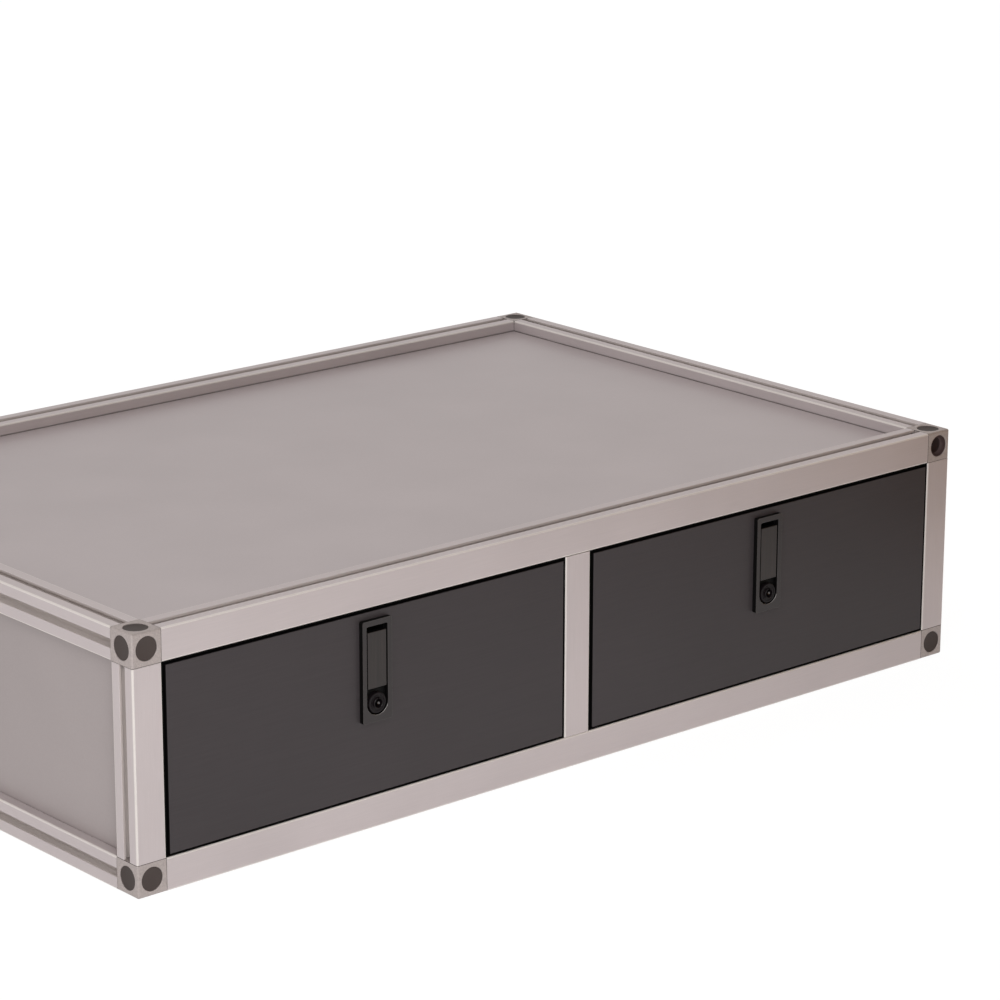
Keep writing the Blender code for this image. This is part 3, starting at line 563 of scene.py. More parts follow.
def finish(
    name, colour, metallic, roughness, grain, speckle=0, depth=0, streak=(1, 1, 1), wear_and_sheen=None, **fixed
):
    """A procedural material.

    Grain gives scale, colour spread and roughness spread of its fine pattern, depth the pattern's
    relief, streak its stretch along each axis, and wear_and_sheen the reach and the colour of edges
    that are partly rubbed and partly given a painted highlight.
    Fixed values go to the shader's sockets by name.
    """
    made = bpy.data.materials.new(name)
    made.use_nodes = True
    tree = made.node_tree
    shader = tree.nodes["Principled BSDF"]
    shader.inputs["Metallic"].default_value = metallic
    for socket, value in fixed.items():
        shader.inputs[socket.replace("_", " ")].default_value = value
    scale, colour_spread, roughness_spread = grain

    place = add(tree, "ShaderNodeTexCoord").outputs["Object"]
    stretched = add(tree, "ShaderNodeMapping", {"Vector": place, "Scale": streak}).outputs["Vector"]
    fine_noise = {"Vector": stretched, "Scale": scale, "Detail": GRAIN_DETAIL, "Roughness": GRAIN_ROUGHNESS}
    fine = add(tree, "ShaderNodeTexNoise", fine_noise).outputs["Fac"]
    broad_noise = {"Vector": place, "Scale": CLOUD_SCALE, "Detail": CLOUD_DETAIL}
    broad = add(tree, "ShaderNodeTexNoise", broad_noise).outputs["Fac"]
    pattern = remap(tree, fine, NOISE_RANGE)

    toned = blend(tree, pattern, *shades(colour, colour_spread))
    toned = scaled(tree, toned, remap(tree, broad, NOISE_RANGE, CLOUD_SHARES))
    if speckle:
        speckled = {"Vector": place, "Scale": SPECKLE_SCALE}
        cells = add(tree, "ShaderNodeTexVoronoi", speckled).outputs["Color"]
        grey = add(tree, "ShaderNodeRGBToBW", {"Color": cells}).outputs["Val"]
        toned = scaled(tree, toned, remap(tree, grey, (0, 1), (1 - speckle, 1 + speckle)))
    # Lighter edges by the bevel's mask: partly rubbed wear, partly a painted highlight.
    if wear_and_sheen:
        radius, worn_and_lit = wear_and_sheen
        rounded = add(tree, "ShaderNodeBevel", {"Radius": radius}, samples=WEAR_AND_SHEEN_SAMPLES).outputs["Normal"]
        flat = add(tree, "ShaderNodeNewGeometry").outputs["Normal"]
        edge = remap(tree, alignment(tree, rounded, flat), WEAR_AND_SHEEN_COSINES)
        toned = blend(tree, calculated(tree, "MULTIPLY", edge, pattern), toned, (*worn_and_lit, 1))
    tree.links.new(toned, shader.inputs["Base Color"])

    roughnesses = (roughness - roughness_spread, roughness + roughness_spread)
    tree.links.new(remap(tree, fine, NOISE_RANGE, roughnesses), shader.inputs["Roughness"])
    if depth:
        bump = add(tree, "ShaderNodeBump", {"Height": fine, "Strength": 1.0, "Distance": depth})
        tree.links.new(bump.outputs["Normal"], shader.inputs["Normal"])
    return made


def make_finishes():
    """Every material, those of drawn or brushed parts once for each direction of their grain."""
    finishes = {}
    for axis, streak in (("x", (BRUSHED, 1, 1)), ("y", (1, BRUSHED, 1)), ("z", (1, 1, BRUSHED))):
        finishes[f"aluminium_{axis}"] = finish(
            f"anodised_aluminium_{axis}", colour=(0.522, 0.466, 0.469), metallic=0.38, roughness=0.46,
            grain=(1400.0, 0.035, 0.05), depth=0.000012, streak=streak, wear_and_sheen=(0.0007, (0.78, 0.73, 0.72)),
        )
        # A lighter copy of the aluminium for the walls of slots and bores: painted light in their shade.
        finishes[f"slot_{axis}"] = finish(
            f"slot_painted_light_{axis}", colour=(0.59, 0.535, 0.515), metallic=0.25, roughness=0.5,
            grain=(1400.0, 0.035, 0.05), depth=0.000012, streak=streak,
        )
        finishes[f"steel_{axis}"] = finish(
            f"zinc_steel_{axis}", colour=(0.40, 0.404, 0.408), metallic=0.85, roughness=0.36,
            grain=(900.0, 0.08, 0.08), depth=0.00001, streak=streak,
        )
    # The deep cap's plastic is lighter, partly its own tone and partly painted light on its walls, and its
    # floor darker, painted shade.
    for kind, name, colour, gloss in (
        ("cap", "cap_plastic", (0.0585, 0.0455, 0.0420), 0.22),
        ("well", "well_plastic_and_light", (0.072, 0.046, 0.045), 0.2),
        ("dark", "well_floor_painted_shade", (0.021, 0.011, 0.010), 0.2),
    ):
        finishes[kind] = finish(
            name, colour, metallic=0.0, roughness=0.6, grain=(2500.0, 0.12, 0.06), depth=0.00001,
            Specular_IOR_Level=gloss,
        )
    for kind, name, colour, roughness in (
        ("panel", "panel_coat", (0.423, 0.370, 0.378), 0.36),
        # A darker copy of the panel coat: painted shade on the side panels, which face less light.
        ("side_panel", "side_panel_shaded_coat", (0.350, 0.307, 0.307), 0.42),
    ):
        finishes[kind] = finish(
            name, colour, metallic=0.0, roughness=roughness, grain=(1600.0, 0.03, 0.05), speckle=0.02,
            depth=0.00001,
        )
    # Dark tones for the cubes' seams and the top panel's bead, both painted shade.
    for kind, name, colour in (
        ("seam", "seam_shade", (0.045, 0.038, 0.036)),
        ("bead", "bead_rubber", (0.20, 0.178, 0.172)),
    ):
        finishes[kind] = finish(name, colour, metallic=0.0, roughness=0.7, grain=(1500.0, 0.08, 0.05))
    finishes["cast"] = finish(
        "blasted_casting", colour=(0.415, 0.365, 0.352), metallic=0.45, roughness=0.56,
        grain=(1500.0, 0.06, 0.05), speckle=0.12, depth=0.00005,
    )
    # A pale edge colour: a painted highlight along the extrusions' eased arrises.
    finishes["arris"] = finish(
        "rubbed_arris", colour=(0.68, 0.635, 0.61), metallic=0.2, roughness=0.4,
        grain=(1400.0, 0.05, 0.05), depth=0.000008,
    )
    finishes["front"] = finish(
        "front_brushed", colour=(0.0425, 0.0362, 0.0385), metallic=0.0, roughness=0.46,
        grain=(1500.0, 0.09, 0.06), depth=0.000015, streak=(FINELY_BRUSHED, 1, 1),
        Specular_IOR_Level=0.25,
    )
    finishes["tray"] = finish(
        "tray_coat", colour=(0.075, 0.073, 0.075), metallic=0.1, roughness=0.5,
        grain=(1300.0, 0.06, 0.06), speckle=0.05, depth=0.00002,
    )
    finishes["latch"] = finish(
        "latch_coat", colour=(0.0235, 0.0192, 0.0196), metallic=0.0, roughness=0.42,
        grain=(2200.0, 0.1, 0.05), depth=0.000012, wear_and_sheen=(0.0008, (0.14, 0.13, 0.125)),
        Specular_IOR_Level=0.4,
    )
    # A lighter edge colour: a painted highlight on the latch opening's lit edges.
    finishes["rubbed"] = finish(
        "rubbed_edge", colour=(0.30, 0.285, 0.28), metallic=0.3, roughness=0.4, grain=(1800.0, 0.15, 0.06)
    )
    finishes["lever"] = finish(
        "lever_brushed", colour=(0.0215, 0.0165, 0.0155), metallic=0.0, roughness=0.42,
        grain=(700.0, 0.34, 0.06), depth=0.000012, streak=(1, 1, FINELY_BRUSHED),
        wear_and_sheen=(0.0004, (0.06, 0.055, 0.055)), Specular_IOR_Level=0.4,
    )
    # Near black: painted shade on the boards' edges, the levers' sides and the latch rims' sides and cups.
    finishes["black"] = finish(
        "black_painted_shade", colour=(0.0022, 0.002, 0.002), metallic=0.0, roughness=0.6,
        grain=(2200.0, 0.1, 0.05), depth=0.00001, Specular_IOR_Level=0.15,
    )
    # Near-black strip colour: painted shade in the bays' mouths.
    finishes["rubber"] = finish(
        "seal_rubber", colour=(0.003, 0.0028, 0.0028), metallic=0.0, roughness=0.8,
        grain=(2600.0, 0.1, 0.05), depth=0.00002, Specular_IOR_Level=0.1,
    )
    finishes["cage"] = finish(
        "cage_steel", colour=(0.30, 0.30, 0.31), metallic=0.8, roughness=0.42, grain=(1500.0, 0.08, 0.06)
    )
    finishes["ball"] = finish(
        "ball_steel", colour=(0.66, 0.66, 0.67), metallic=1.0, roughness=0.14, grain=(1500.0, 0.03, 0.03)
    )
    finishes["screw"] = finish(
        "screw_zinc", colour=(0.52, 0.53, 0.54), metallic=0.9, roughness=0.3,
        grain=(1800.0, 0.06, 0.06), depth=0.000008,
    )
    finishes["lock"] = finish(
        "lock_black", colour=(0.0088, 0.0066, 0.0076), metallic=0.0, roughness=0.33,
        grain=(1800.0, 0.12, 0.06), depth=0.000008, wear_and_sheen=(0.0003, (0.04, 0.037, 0.036)),
        Specular_IOR_Level=0.12,
    )
    finishes["bright"] = finish(
        "bright_steel", colour=(0.14, 0.132, 0.13), metallic=1.0, roughness=0.34, grain=(1800.0, 0.05, 0.04)
    )
    return finishes


def ease_edges(node, low, high, axis, finishes):
    """Rounds a profile's sharp edges and paints a highlight on them, and paints light on its slots in a
    lighter tone.
    """
    ease = node.modifiers.new("eased_edges", "BEVEL")
    ease.width = ARRIS
    ease.segments = FINE_EDGE_STEPS
    ease.limit_method = "ANGLE"
    ease.angle_limit = BEVEL_ANGLE
    # The eased faces get the painted highlight too.
    ease.material = len(node.data.materials)
    node.data.materials.append(finishes["arris"])
    across = [index for index in range(3) if "xyz"[index] != axis]

    def coat_of(face):
        """1 on the rounding of the four long edges, which get a painted highlight, 2 on the walls of the
        slots and the bore, which get painted light, else 0.
        """
        centre = face.center
        depths = [min(centre[index] - low[index], high[index] - centre[index]) for index in across]
        if max(depths) < EDGE_REACH and is_sloped(face):
            return 1
        return 2 * (min(depths) > SLOT_INSET)

    paint(node, coat_of, finishes[f"slot_{axis}"])


def dress_nodes(finishes):
    """Gives each CAD node the material of its slot, the grain along its length."""
    slots = {row["node"]: row["material_slot"] for row in frame["record"]["subparts"]}
    plain = {
        "cast_corner": "cast",
        "cap_plastic": "cap",
        "panel": "panel",
        "drawer_front": "front",
        "tray": "tray",
        "latch": "latch",
        "lock": "lock",
    }
    for name, node in frame["nodes"].items():
        low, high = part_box(name)
        size = high - low
        axis = "xyz"[max(range(3), key=lambda index: size[index])]
        kind = slots[name]
        if kind == "aluminium":
            chosen = finishes[f"aluminium_{axis}"]
        elif kind == "slide_steel":
            chosen = finishes[f"steel_{axis}"]
        else:
            # Side panels take the darker copy of the panel coat, painted shade.
            chosen = finishes["side_panel" if name.endswith("side_panel") else plain[kind]]
        node.data.materials.clear()
        node.data.materials.append(chosen)
        if kind == "aluminium":
            ease_edges(node, low, high, axis, finishes)
        # The board's edges are painted black: painted shade in the gaps round each drawer.
        if kind == "drawer_front":
            paint(node, lambda face: abs(face.normal.y) < HALFWAY_COSINE, finishes["black"])


# Corner cubes and their caps


def outward_axes(axis, sign):
    """Axes whose w points out of a cube's face."""
    facing = (ALONG_X, ALONG_Y, ALONG_Z)[axis]
    flip = Matrix.Rotation(math.pi, 3, "X") if sign < 0 else Matrix.Identity(3)
    return facing @ flip


def pocket(depth, axes, place):
    """The cutter for a cap's round pocket, with a small countersink."""
    radius = POCKET_DIAMETER / 2
    profile = [
        (0, -depth),
        (radius, -depth),
        (radius, -POCKET_EDGE),
        (radius + POCKET_EDGE, 0),
        (radius + POCKET_EDGE, OVERRUN),
        (0, OVERRUN),
    ]
    return turned("pocket", profile, axes, place)


def cap(name, depth, axes, place):
    """A plug with a rounded rim and a dished face, or with a deep round well in a deep pocket."""
    radius = CAP_DIAMETER / 2
    edge = CAP_RIM_SUNK / 2
    rounded = arc((radius - edge, -CAP_RIM_SUNK - edge), edge, 0, math.pi / 2, EDGE_STEPS)
    profile = [(0, -depth), (radius, -depth), *rounded]
    if depth > POCKET_DEPTH:
        well = radius - CAP_LIP
        floor = -CAP_RIM_SUNK - DEEP_CAP_WELL
        middle = (well - DEEP_CAP_ROUND, floor + DEEP_CAP_ROUND)
        bowl = arc(middle, DEEP_CAP_ROUND, 0, -math.pi / 2, CORNER_STEPS)
        profile += [(well, -CAP_RIM_SUNK), *bowl, (0, floor)]
    else:
        for share in DISH_SHARES:
            sunk = CAP_RIM_SUNK + CAP_DISH * (1 - share**3)
            profile.append(((radius - CAP_LIP) * share, -sunk))
    return turned(name, profile, axes, place)


def make_corner(name, finishes):
    """A soft-edged cube, close to its rails, with a capped pocket in each of its three outer faces."""
    low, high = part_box(name)
    centre = (low + high) / 2
    outward = [math.copysign(1, centre.x), math.copysign(1, centre.y), 1 if "top" in name else -1]
    for index, sign in enumerate(outward):
        if sign > 0:
            low[index] -= CUBE_SEAM
        else:
            high[index] += CUBE_SEAM
    shape = bmesh.new()
    middle = Matrix.Translation((low + high) / 2)
    bmesh.ops.create_cube(shape, size=1, matrix=middle @ Matrix.Diagonal((*(high - low), 1)))
    tip = Vector([high[index] if sign > 0 else low[index] for index, sign in enumerate(outward)])

    def on_outer_edge(point):
        """True on an edge between two of the cube's outer faces."""
        return sum(abs(point[index] - tip[index]) < CUBE_JOINT_EDGE for index in range(3)) == 2

    round_edges(shape, CUBE_RADIUS, on_outer_edge, CUBE_EDGE_STEPS)
    round_edges(shape, CUBE_JOINT_EDGE, lambda point: True, FINE_EDGE_STEPS)
    cube = finished(shape, f"{name}_fine", ALONG_Z, (0, 0, 0))
    for index, sign in enumerate(outward):
        axes = outward_axes(index, sign)
        place = centre.copy()
        place[index] = tip[index]
        cap_name = f"{name}_cap_{'xyz'[index]}"
        depth = DEEP_POCKET_DEPTH if cap_name == DEEP_CAP else POCKET_DEPTH
        cut(cube, pocket(depth, axes, place))
        coat = finishes["well" if cap_name == DEEP_CAP else "cap"]
        plug = dress(cap(cap_name, depth, axes, place), "cabinet", coat)
        # The deep cap's floor is painted darker: painted shade at the bottom of its well.
        if cap_name == DEEP_CAP:
            deep = tip.y + DEEP_CAP_ROUND
            coat = finishes["dark"]
            paint(plug, lambda face: face.normal.y < -FLOOR_COSINE and face.center.y > deep, coat)
        end, side, level = name.split("_")[:3]
        if index == 1 and end == "front":
            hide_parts(f"front_cap_{side}_{level}")
        if index == 2 and level == "top":
            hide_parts(f"top_cap_{end}_{side}")
    dress(cube, "cabinet", finishes["cast"])
    root = [low[index] if sign > 0 else high[index] for index, sign in enumerate(outward)]

    def on_joint(face):
        """True on the small slope where the cube meets a rail."""
        gap = min(abs(face.center[index] - root[index]) for index in range(3))
        return is_sloped(face) and gap < CUBE_JOINT_EDGE

    paint(cube, on_joint, finishes["seam"])
    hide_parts(name)


def make_seals(finishes):
    """A black strip round each bay's mouth and a grey bead where the top panel meets its rails, both
    painted shade for the dark gaps there.
    """
    for side, sign in (("left", -1), ("right", 1)):
        near, far = sorted((sign * BAY_INNER, sign * BAY_OUTER))
        mouth = box_outline((near, BAY_LOW), (far, BAY_HIGH))
        hole = box_outline((near + SHADE_STRIP, BAY_LOW + SHADE_STRIP), (far - SHADE_STRIP, BAY_HIGH - SHADE_STRIP))
        ring = prism(f"{side}_bay_shade_strip", mouth, SHADE_STRIP_BACK, SHADE_STRIP_FRONT, FACING_FRONT, holes=[hole])
        dress(ring, "cabinet", finishes["rubber"])
    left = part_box("left_top_rail")[1].x
    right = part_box("right_top_rail")[0].x
    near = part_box("front_top_rail")[1].y
    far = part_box("back_top_rail")[0].y
    rim = box_outline((left, near), (right, far))
    hole = box_outline((left + BEAD, near + BEAD), (right - BEAD, far - BEAD))
    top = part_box("top_panel")[1].z
    bead = prism("top_panel_bead", rim, top - BEAD_SUNK, top + BEAD_RISE, holes=[hole])
    dress(bead, "cabinet", finishes["bead"])


# Latches


def make_housing(side, place, finishes):
    """The raised rim with its eased edges, and behind it the cup, the lock's seat and the bolt's guides."""
    opening = tongue_outline(OPENING_HALF_WIDTH, OPENING_TOP, RECESS_CORNER, OPENING_LOW)
    rim_outline = box_outline((-RIM_HALF_WIDTH, RIM_LOW), (RIM_HALF_WIDTH, RIM_TOP), RIM_CORNER)
    shape = solid(rim_outline, -RIM_BACK, 0, [opening])
    near_face = -RIM_EDGE / 2
    inside = OPENING_HALF_WIDTH + RECESS_EDGE

    def in_opening(across, up, top):
        """True inside the opening's outline with its eased edge, up to a top."""
        return abs(across) < inside and up < top and (up > 0 or math.hypot(across, up) < inside)

    def on_recess(point):
        """True on the front edge of the opening."""
        return point.z > near_face and in_opening(point.x, point.y, OPENING_TOP + RECESS_EDGE)

    def on_outside(point):
        """True on the front edge of the rim."""
        return point.z > near_face and not on_recess(point)

    round_edges(shape, RIM_EDGE, on_outside)
    round_edges(shape, RECESS_EDGE, on_recess, RECESS_EDGE_STEPS)
    rim = finished(shape, f"{side}_latch_housing_fine", FACING_FRONT, place)

    half_body = RECESS_HALF_WIDTH + BODY_WALL
    body_top = RECESS_TOP + BODY_WALL
    corner = RECESS_CORNER + BODY_WALL
    shell = tongue_outline(half_body, body_top, corner)
    body = prism("body", shell, -BODY_BACK, -RIM_BACK, FACING_FRONT, place)
    cup = box_outline((-half_body, CUP_LOW - BODY_WALL), (half_body, body_top), corner)
    join(body, prism("cup", cup, -CUP_BACK, OVERRUN - BODY_BACK, FACING_FRONT, place))
    hook_x = place[0] - GUIDE_REACH
    wall_x = place[0] - half_body + BODY_WALL / 2
    for height in GUIDE_PLACES:
        hook = [
            (wall_x, GUIDE_DEPTH),
            (wall_x, GUIDE_DEPTH + GUIDE_SHEET),
            (hook_x, GUIDE_DEPTH + GUIDE_SHEET),
            (hook_x, GUIDE_FRONT),
            (hook_x + GUIDE_SHEET, GUIDE_FRONT),
            (hook_x + GUIDE_SHEET, GUIDE_DEPTH),
        ]
        at = (0, place[1], place[2] + height)
        join(body, prism("guide", hook, -GUIDE_HALF_WIDTH, GUIDE_HALF_WIDTH, ALONG_Z, at))
    knuckle = box_outline((-RECESS_HALF_WIDTH, KNUCKLE_LOW), (RECESS_HALF_WIDTH, CUP_LOW + OVERRUN))
    cut(body, prism("knuckle", knuckle, -KNUCKLE_DEPTH, OVERRUN, FACING_FRONT, place))
    deep = box_outline((-RECESS_HALF_WIDTH, CUP_LOW), (RECESS_HALF_WIDTH, RECESS_TOP), RECESS_CORNER)
    cut(body, prism("deep", deep, -RECESS_DEPTH, OVERRUN, FACING_FRONT, place))
    bore = circle(BARREL_DIAMETER + 2 * BORE_GAP)
    cut(body, prism("bore", bore, -BODY_BACK - OVERRUN, OVERRUN, FACING_FRONT, place))
    housing = dress(gather(rim, body), f"{side}_drawer", finishes["latch"])

    def in_shade(face):
        """True on the rim's sides and inside the cup, and not on the body behind the board."""
        beside = abs(face.center.x - place[0]) > RECESS_HALF_WIDTH + BODY_WALL / 2
        above = face.center.z - place[2] > RECESS_TOP + BODY_WALL / 2
        outer = beside or above or face.normal.y > HALFWAY_COSINE
        return face.center.y > RIM_FACE_Y + RIM_PLATE and not (face.center.y > BOARD_BACK_Y and outer)

    def on_highlit_edge(face):
        """True on the opening's left and lower edges, which face the lamps and get a painted highlight."""
        turn = face.normal
        eased = SIDEWAYS_COSINE < -turn.y < EASED_COSINE and face.center.y < RIM_FACE_Y + RIM_PLATE
        opened = in_opening(face.center.x - place[0], face.center.z - place[2], OPENING_TOP)
        return eased and opened and max(turn.x, turn.z) > TURNED_COSINE

    # Black for painted shade on the rim's sides and in the cup, and a painted highlight on the opening's
    # lit edges.
    coats = (finishes["black"], finishes["rubbed"])
    paint(housing, lambda face: 2 if on_highlit_edge(face) else in_shade(face), *coats)
    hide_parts(f"{side}_latch_housing")


def make_lever(side, place, finishes):
    """The flat folding lever, its front edges eased, with a lip under its top for the fingers."""
    back = PIVOT_DEPTH + PIVOT_RADIUS
    foot = LEVER_BOTTOM + PIVOT_RADIUS
    outline = arc((PIVOT_DEPTH, foot), PIVOT_RADIUS, -math.pi / 2, 0, PIN_STEPS // 4)
    outline += [
        (back, LEVER_TOP - FINGER_LIP_HEIGHT),
        (back + FINGER_LIP_DEPTH, LEVER_TOP - FINGER_LIP_HEIGHT + FINGER_LIP_DEPTH),
        (back + FINGER_LIP_DEPTH, LEVER_TOP),
        (LEVER_SUNK, LEVER_TOP),
    ]
    corner = (LEVER_SUNK + LEVER_FOOT_RADIUS, LEVER_BOTTOM + LEVER_FOOT_RADIUS)
    outline += arc(corner, LEVER_FOOT_RADIUS, math.pi, 3 * math.pi / 2, EDGE_STEPS)
    shape = solid(outline, -LEVER_HALF_WIDTH, LEVER_HALF_WIDTH)

    def is_eased(point):
        """True on the edges of both sides, and on those above the foot."""
        return abs(point.z) > LEVER_HALF_WIDTH - LEVER_EDGE or point.y > foot

    round_edges(shape, LEVER_EDGE, is_eased)
    lever = finished(shape, f"{side}_latch_lever_fine", ALONG_X, place)
    pivot = (place[0], place[1] + PIVOT_DEPTH, place[2] + foot)
    pin = circle(LEVER_PIN_DIAMETER, PIN_STEPS)
    join(lever, prism("pin", pin, -LEVER_PIN_REACH, LEVER_PIN_REACH, ALONG_X, pivot))
    dress(lever, f"{side}_lever", finishes["lever"])
    # The lever's sides and back are painted black: painted shade in its recess.
    paint(lever, lambda face: face.normal.y > -TURNED_COSINE, finishes["black"])
    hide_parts(f"{side}_latch_lever")


def make_lock(side, place, finishes):
    """The lock's round head with its ring and its ring keyway, the barrel, the pinion and a bright post."""
    face = -HEAD_SUNK
    head = HEAD_DIAMETER / 2
    ring = RING_DIAMETER / 2
    keyway = KEYWAY_DIAMETER / 2
    collar = COLLAR_DIAMETER / 2
    barrel = BARREL_DIAMETER / 2
    tail = TAIL_DIAMETER / 2
    eased = arc((head - HEAD_EDGE, face - HEAD_EDGE), HEAD_EDGE, math.pi / 2, 0, EDGE_STEPS)
    profile = [
        (0, face - KEYWAY_DEPTH),
        (keyway, face - KEYWAY_DEPTH),
        (keyway, face + COLLAR - COLLAR_EDGE),
        (keyway + COLLAR_EDGE, face + COLLAR),
        (collar - COLLAR_EDGE, face + COLLAR),
        (collar, face + COLLAR - COLLAR_EDGE),
        (collar, face),
        (ring - RING_WIDTH, face),
        (ring - RING_WIDTH, face - RING_DEPTH),
        (ring, face - RING_DEPTH),
        (ring, face),
        *eased,
        (head, -HEAD_BACK),
        (barrel, -HEAD_BACK),
        (barrel, BORE_GAP - GEAR_FRONT),
        (tail, BORE_GAP - GEAR_FRONT),
        (tail, -TAIL_END),
        (0, -TAIL_END),
    ]
    lock = turned(f"{side}_key_lock_fine", profile, FACING_FRONT, place)
    join(lock, prism("pinion", pinion_outline(), -GEAR_BACK, -GEAR_FRONT, FACING_FRONT, place))
    notch = box_outline((-KEY_NOTCH_HALF_WIDTH, KEY_NOTCH_LOW), (KEY_NOTCH_HALF_WIDTH, KEY_NOTCH_HIGH))
    cut(lock, prism("notch", notch, face - KEYWAY_DEPTH / 2, face + OVERRUN, FACING_FRONT, place))
    dress(lock, f"{side}_key", finishes["lock"])
    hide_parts(f"{side}_key_lock")
    post = POST_DIAMETER / 2
    profile = []
    for share in DIMPLE_SHARES:
        profile.append((post * share, face + POST_RAISED - POST_DIMPLE * (1 - share**2)))
    profile += [(post, face - KEYWAY_DEPTH), (0, face - KEYWAY_DEPTH)]
    pin = turned(f"{side}_key_post", profile, FACING_FRONT, place, PIN_STEPS)
    dress(pin, f"{side}_key", finishes["bright"])


# Slide members, their balls and cages, and the trays' screws


def ball(radius, place):
    shape = bmesh.new()
    bmesh.ops.create_uvsphere(shape, u_segments=BALL_SEGMENTS, v_segments=BALL_RINGS, radius=radius)
    return finished(shape, "ball", ALONG_Z, place)


def make_cage(name, body, wall_x, facing, row, finishes):
    """Two rows of balls, over and under the slide's middle, in a cage of two slim strips."""
    height, across, start = row
    x = wall_x + facing * across
    length = CAGE_BALLS * BALL_PITCH
    outline = box_outline((-CAGE_HALF_WIDTH, 0), (CAGE_HALF_WIDTH, length), CAGE_CORNER)
    balls = []
    strips = []
    for sign in (-1, 1):
        z = SLIDE_MIDDLE_HEIGHT + sign * height
        for number in range(CAGE_BALLS):
            balls.append(ball(BALL_DIAMETER / 2, (x, start + (number + 0.5) * BALL_PITCH, z)))
        strips.append(prism("strip", outline, -CAGE_SHEET / 2, CAGE_SHEET / 2, ALONG_Z, (x, start, z)))
    count = sum(len(item.data.polygons) for item in strips)
    cage = gather(*strips, *balls)
    cage.name = name
    dress(cage, body, finishes["cage"])
    paint(cage, lambda face: face.index >= count, finishes["ball"])


def make_cages(side, centre, finishes):
    for hand, facing in (("left", 1), ("right", -1)):
        wall_x = centre - facing * (BAY_HALF_WIDTH - SLIDE_GAP)
        for row, places in (("outer", OUTER_ROW), ("inner", INNER_ROW)):
            name = f"{side}_drawer_{hand}_slide_{row}_cage"
            make_cage(name, f"{side}_middle_slides", wall_x, facing, places, finishes)


def stadium_outline(length, width):
    """A slot's outline, its length along u."""
    radius = width / 2
    reach = length / 2 - radius
    points = arc((reach, 0), radius, -math.pi / 2, math.pi / 2, CORNER_STEPS)
    return points + arc((-reach, 0), radius, math.pi / 2, 3 * math.pi / 2, CORNER_STEPS)


def make_slotted_slides(side, centre, finishes):
    """The middle and inner slide members again, with a row of slots through their webs."""
    slot = stadium_outline(SLIDE_SLOT_LENGTH, SLIDE_SLOT_WIDTH)
    for hand, facing in (("left", 1), ("right", -1)):
        wall_x = centre - facing * (BAY_HALF_WIDTH - SLIDE_GAP)
        for member, across, body in SLOTTED_MEMBERS:
            name = f"{side}_drawer_{hand}_slide_{member}"
            fine = added(f"{name}_fine", frame["nodes"][name].data.copy())
            x = wall_x + facing * across
            slots = []
            for y in SLIDE_SLOT_PLACES:
                place = (x, y, SLIDE_MIDDLE_HEIGHT)
                slots.append(prism("slot", slot, -SLIDE_SLOT_REACH, SLIDE_SLOT_REACH, ALONG_X, place))
            cut(fine, gather(*slots))
            dress(fine, f"{side}_{body}", finishes["steel_y"])
            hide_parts(name)


def nut(axes, place):
    """A hexagon nut with its screw's end sunk in it."""
    body = prism("nut", circle(NUT_DIAMETER, HEXAGON), 0, NUT_HEIGHT, axes, place)
    thread = circle(THREAD_DIAMETER, PIN_STEPS)
    cut(body, prism("thread", thread, THREAD_SUNK, NUT_HEIGHT + OVERRUN, axes, place))
    return body


def screw(axes, place):
    """A button head with a hexagon socket."""
    radius = SCREW_HEAD / 2
    crown = []
    for share in SCREW_CROWN_SHARES:
        crown.append((radius * share, SCREW_RISE * math.sqrt(1 - share**2)))
    made = turned("screw", [*crown, (radius, -SCREW_SEAT), (0, -SCREW_SEAT)], axes, place, PIN_STEPS)
    socket = circle(SCREW_SOCKET, HEXAGON)
    cut(made, prism("socket", socket, SCREW_RISE - SCREW_SOCKET_DEPTH, SCREW_RISE + OVERRUN, axes, place))
    return made


def make_tray_screws(side, centre, finishes):
    """Screws and nuts that hold the tray to its slides, and screws through its lips into the board."""
    screws = []
    for facing in (1, -1):
        wall = centre - facing * (TRAY_HALF_WIDTH - TRAY_SHEET)
        inward = outward_axes(0, facing)
        nut_x = centre - facing * (BAY_HALF_WIDTH - SLIDE_GAP - INNER_WEB + SLIDE_SHEET / 2)
        for y in SLIDE_SCREW_PLACES:
            screws.append(screw(inward, (wall, y, SLIDE_MIDDLE_HEIGHT)))
            screws.append(nut(outward_axes(0, -facing), (nut_x, y, SLIDE_MIDDLE_HEIGHT)))
        lip_x = centre - facing * (TRAY_HALF_WIDTH - TRAY_LIP / 2)
        for z in BOARD_SCREW_PLACES:
            screws.append(screw(outward_axes(1, 1), (lip_x, TRAY_FRONT_Y + TRAY_SHEET, z)))
    made = gather(*screws)
    made.name = f"{side}_tray_screws"
    dress(made, f"{side}_drawer", finishes["screw"])


# Floor, light and camera


def background_rays(tree):
    """1 for rays from the camera, a mirror or a glass, 0 for those that light other surfaces."""
    path = add(tree, "ShaderNodeLightPath").outputs
    first = calculated(tree, "MAXIMUM", path["Is Camera Ray"], path["Is Glossy Ray"])
    return calculated(tree, "MAXIMUM", first, path["Is Transmission Ray"])


def blank(block):
    """The emptied node tree of a new material or world."""
    block.use_nodes = True
    block.node_tree.nodes.clear()
    return block.node_tree


def matt(tree, colour):
    return add(tree, "ShaderNodeBsdfDiffuse", {"Color": colour}).outputs["BSDF"]


def stage_face(name, corners, coat):
    """A flat piece of the stage."""
    mesh = bpy.data.meshes.new(name)
    mesh.from_pydata(corners, [], [range(len(corners))])
    mesh.materials.append(coat)
    return added(name, mesh)


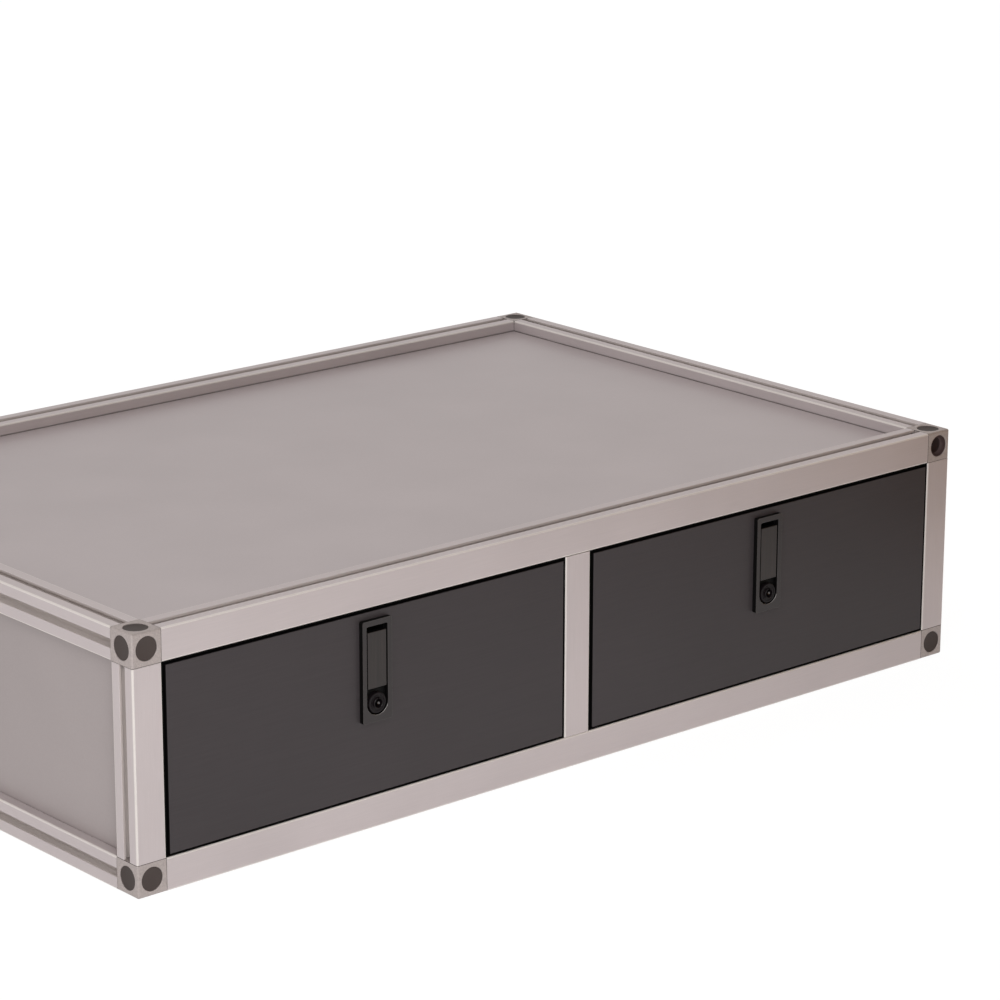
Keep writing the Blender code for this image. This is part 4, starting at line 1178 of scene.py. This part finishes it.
def make_floor():
    """A white floor that shows the object's shadow."""
    coat = bpy.data.materials.new("floor_paint")
    tree = blank(coat)
    share = calculated(tree, "MULTIPLY", background_rays(tree), FLOOR_GLOW_SHARE)
    glow = add(tree, "ShaderNodeEmission", {"Strength": FLOOR_GLOW}).outputs["Emission"]
    surface = {0: share, 1: matt(tree, FLOOR_COLOUR), 2: glow}
    mixed = add(tree, "ShaderNodeMixShader", surface).outputs["Shader"]
    add(tree, "ShaderNodeOutputMaterial", {"Surface": mixed})
    half = FLOOR_SIZE / 2
    floor = stage_face("floor", [(x, y, 0) for x, y in box_outline((-half, -half), (half, half))], coat)


def make_card():
    """A warm card beside the object, for the aluminium at its right end to reflect."""
    coat = bpy.data.materials.new("warm_card")
    tree = blank(coat)
    add(tree, "ShaderNodeOutputMaterial", {"Surface": matt(tree, CARD_COLOUR)})
    outline = box_outline((CARD_NEAR_Y, 0), (CARD_FAR_Y, CARD_HEIGHT))
    card = stage_face("side_card", [(CARD_X, y, z) for y, z in outline], coat)
    card.visible_camera = False


def make_world():
    """A pale sky, brightest at the horizon and dim on one side, that the camera sees as plain white."""
    world = bpy.data.worlds.new("studio")
    bpy.context.scene.world = world
    tree = blank(world)
    outward = add(tree, "ShaderNodeTexCoord").outputs["Generated"]
    upward = add(tree, "ShaderNodeSeparateXYZ", {"Vector": outward}).outputs["Z"]
    lights = (HORIZON_LIGHT, ZENITH_LIGHT)
    level = remap(tree, upward, SKY_HEIGHTS, lights, interpolation_type="SMOOTHSTEP")
    sideways = alignment(tree, outward, DARK_SIDE)
    dims = (1.0, DARK_SIDE_LIGHT)
    dimmed = remap(tree, sideways, DARK_SIDE_COSINES, dims, interpolation_type="SMOOTHSTEP")
    strength = calculated(tree, "MULTIPLY", level, dimmed)
    sky = add(tree, "ShaderNodeBackground", {"Color": SKY_COLOUR, "Strength": strength}).outputs[0]
    white = add(tree, "ShaderNodeBackground", {"Color": WHITE, "Strength": 1.0}).outputs[0]
    seen = add(tree, "ShaderNodeLightPath").outputs["Is Camera Ray"]
    mixed = add(tree, "ShaderNodeMixShader", {0: seen, 1: sky, 2: white}).outputs["Shader"]
    add(tree, "ShaderNodeOutputWorld", {"Surface": mixed})


def make_lamp(name, place, aim, size, power, shiny=True):
    """A soft lamp that points from its place at a spot. A lamp that isn't shiny makes no reflections."""
    lamp = bpy.data.lights.new(name, "AREA")
    lamp.shape = "RECTANGLE"
    lamp.size, lamp.size_y = size
    lamp.energy = power
    item = added(name, lamp)
    item.visible_camera = False
    item.visible_glossy = shiny
    item.location = place
    item.rotation_euler = (Vector(aim) - Vector(place)).to_track_quat("-Z", "Y").to_euler()


def make_camera():
    """The camera of the photograph."""
    data = bpy.data.cameras.new("camera")
    camera = added("camera", data)
    camera.location = CAMERA_PLACE
    turn = Vector(CAMERA_AIM).to_track_quat("-Z", "Y") @ Quaternion((0, 0, 1), CAMERA_ROLL)
    camera.rotation_euler = turn.to_euler()
    data.lens = CAMERA_LENS
    data.sensor_width = CAMERA_SENSOR
    bpy.context.scene.camera = camera


def main():
    bpy.context.scene.view_settings.view_transform = "Standard"
    make_camera()
    make_lamp("key", KEY_PLACE, KEY_AIM, KEY_SIZE, KEY_POWER)
    make_lamp("high", HIGH_PLACE, HIGH_AIM, HIGH_SIZE, HIGH_POWER)
    make_lamp("low", LOW_PLACE, LOW_AIM, LOW_SIZE, LOW_POWER, shiny=False)
    make_floor()
    make_card()
    make_world()
    finishes = make_finishes()
    dress_nodes(finishes)
    for name in sorted(frame["nodes"]):
        if name.endswith("corner"):
            make_corner(name, finishes)
    make_seals(finishes)
    for side, x in (("left", -BAY_CENTRE), ("right", BAY_CENTRE)):
        place = (x, RIM_FACE_Y, LOCK_HEIGHT)
        make_housing(side, place, finishes)
        make_lever(side, place, finishes)
        make_lock(side, place, finishes)
        make_slotted_slides(side, x, finishes)
        make_cages(side, x, finishes)
        make_tray_screws(side, x, finishes)


main()
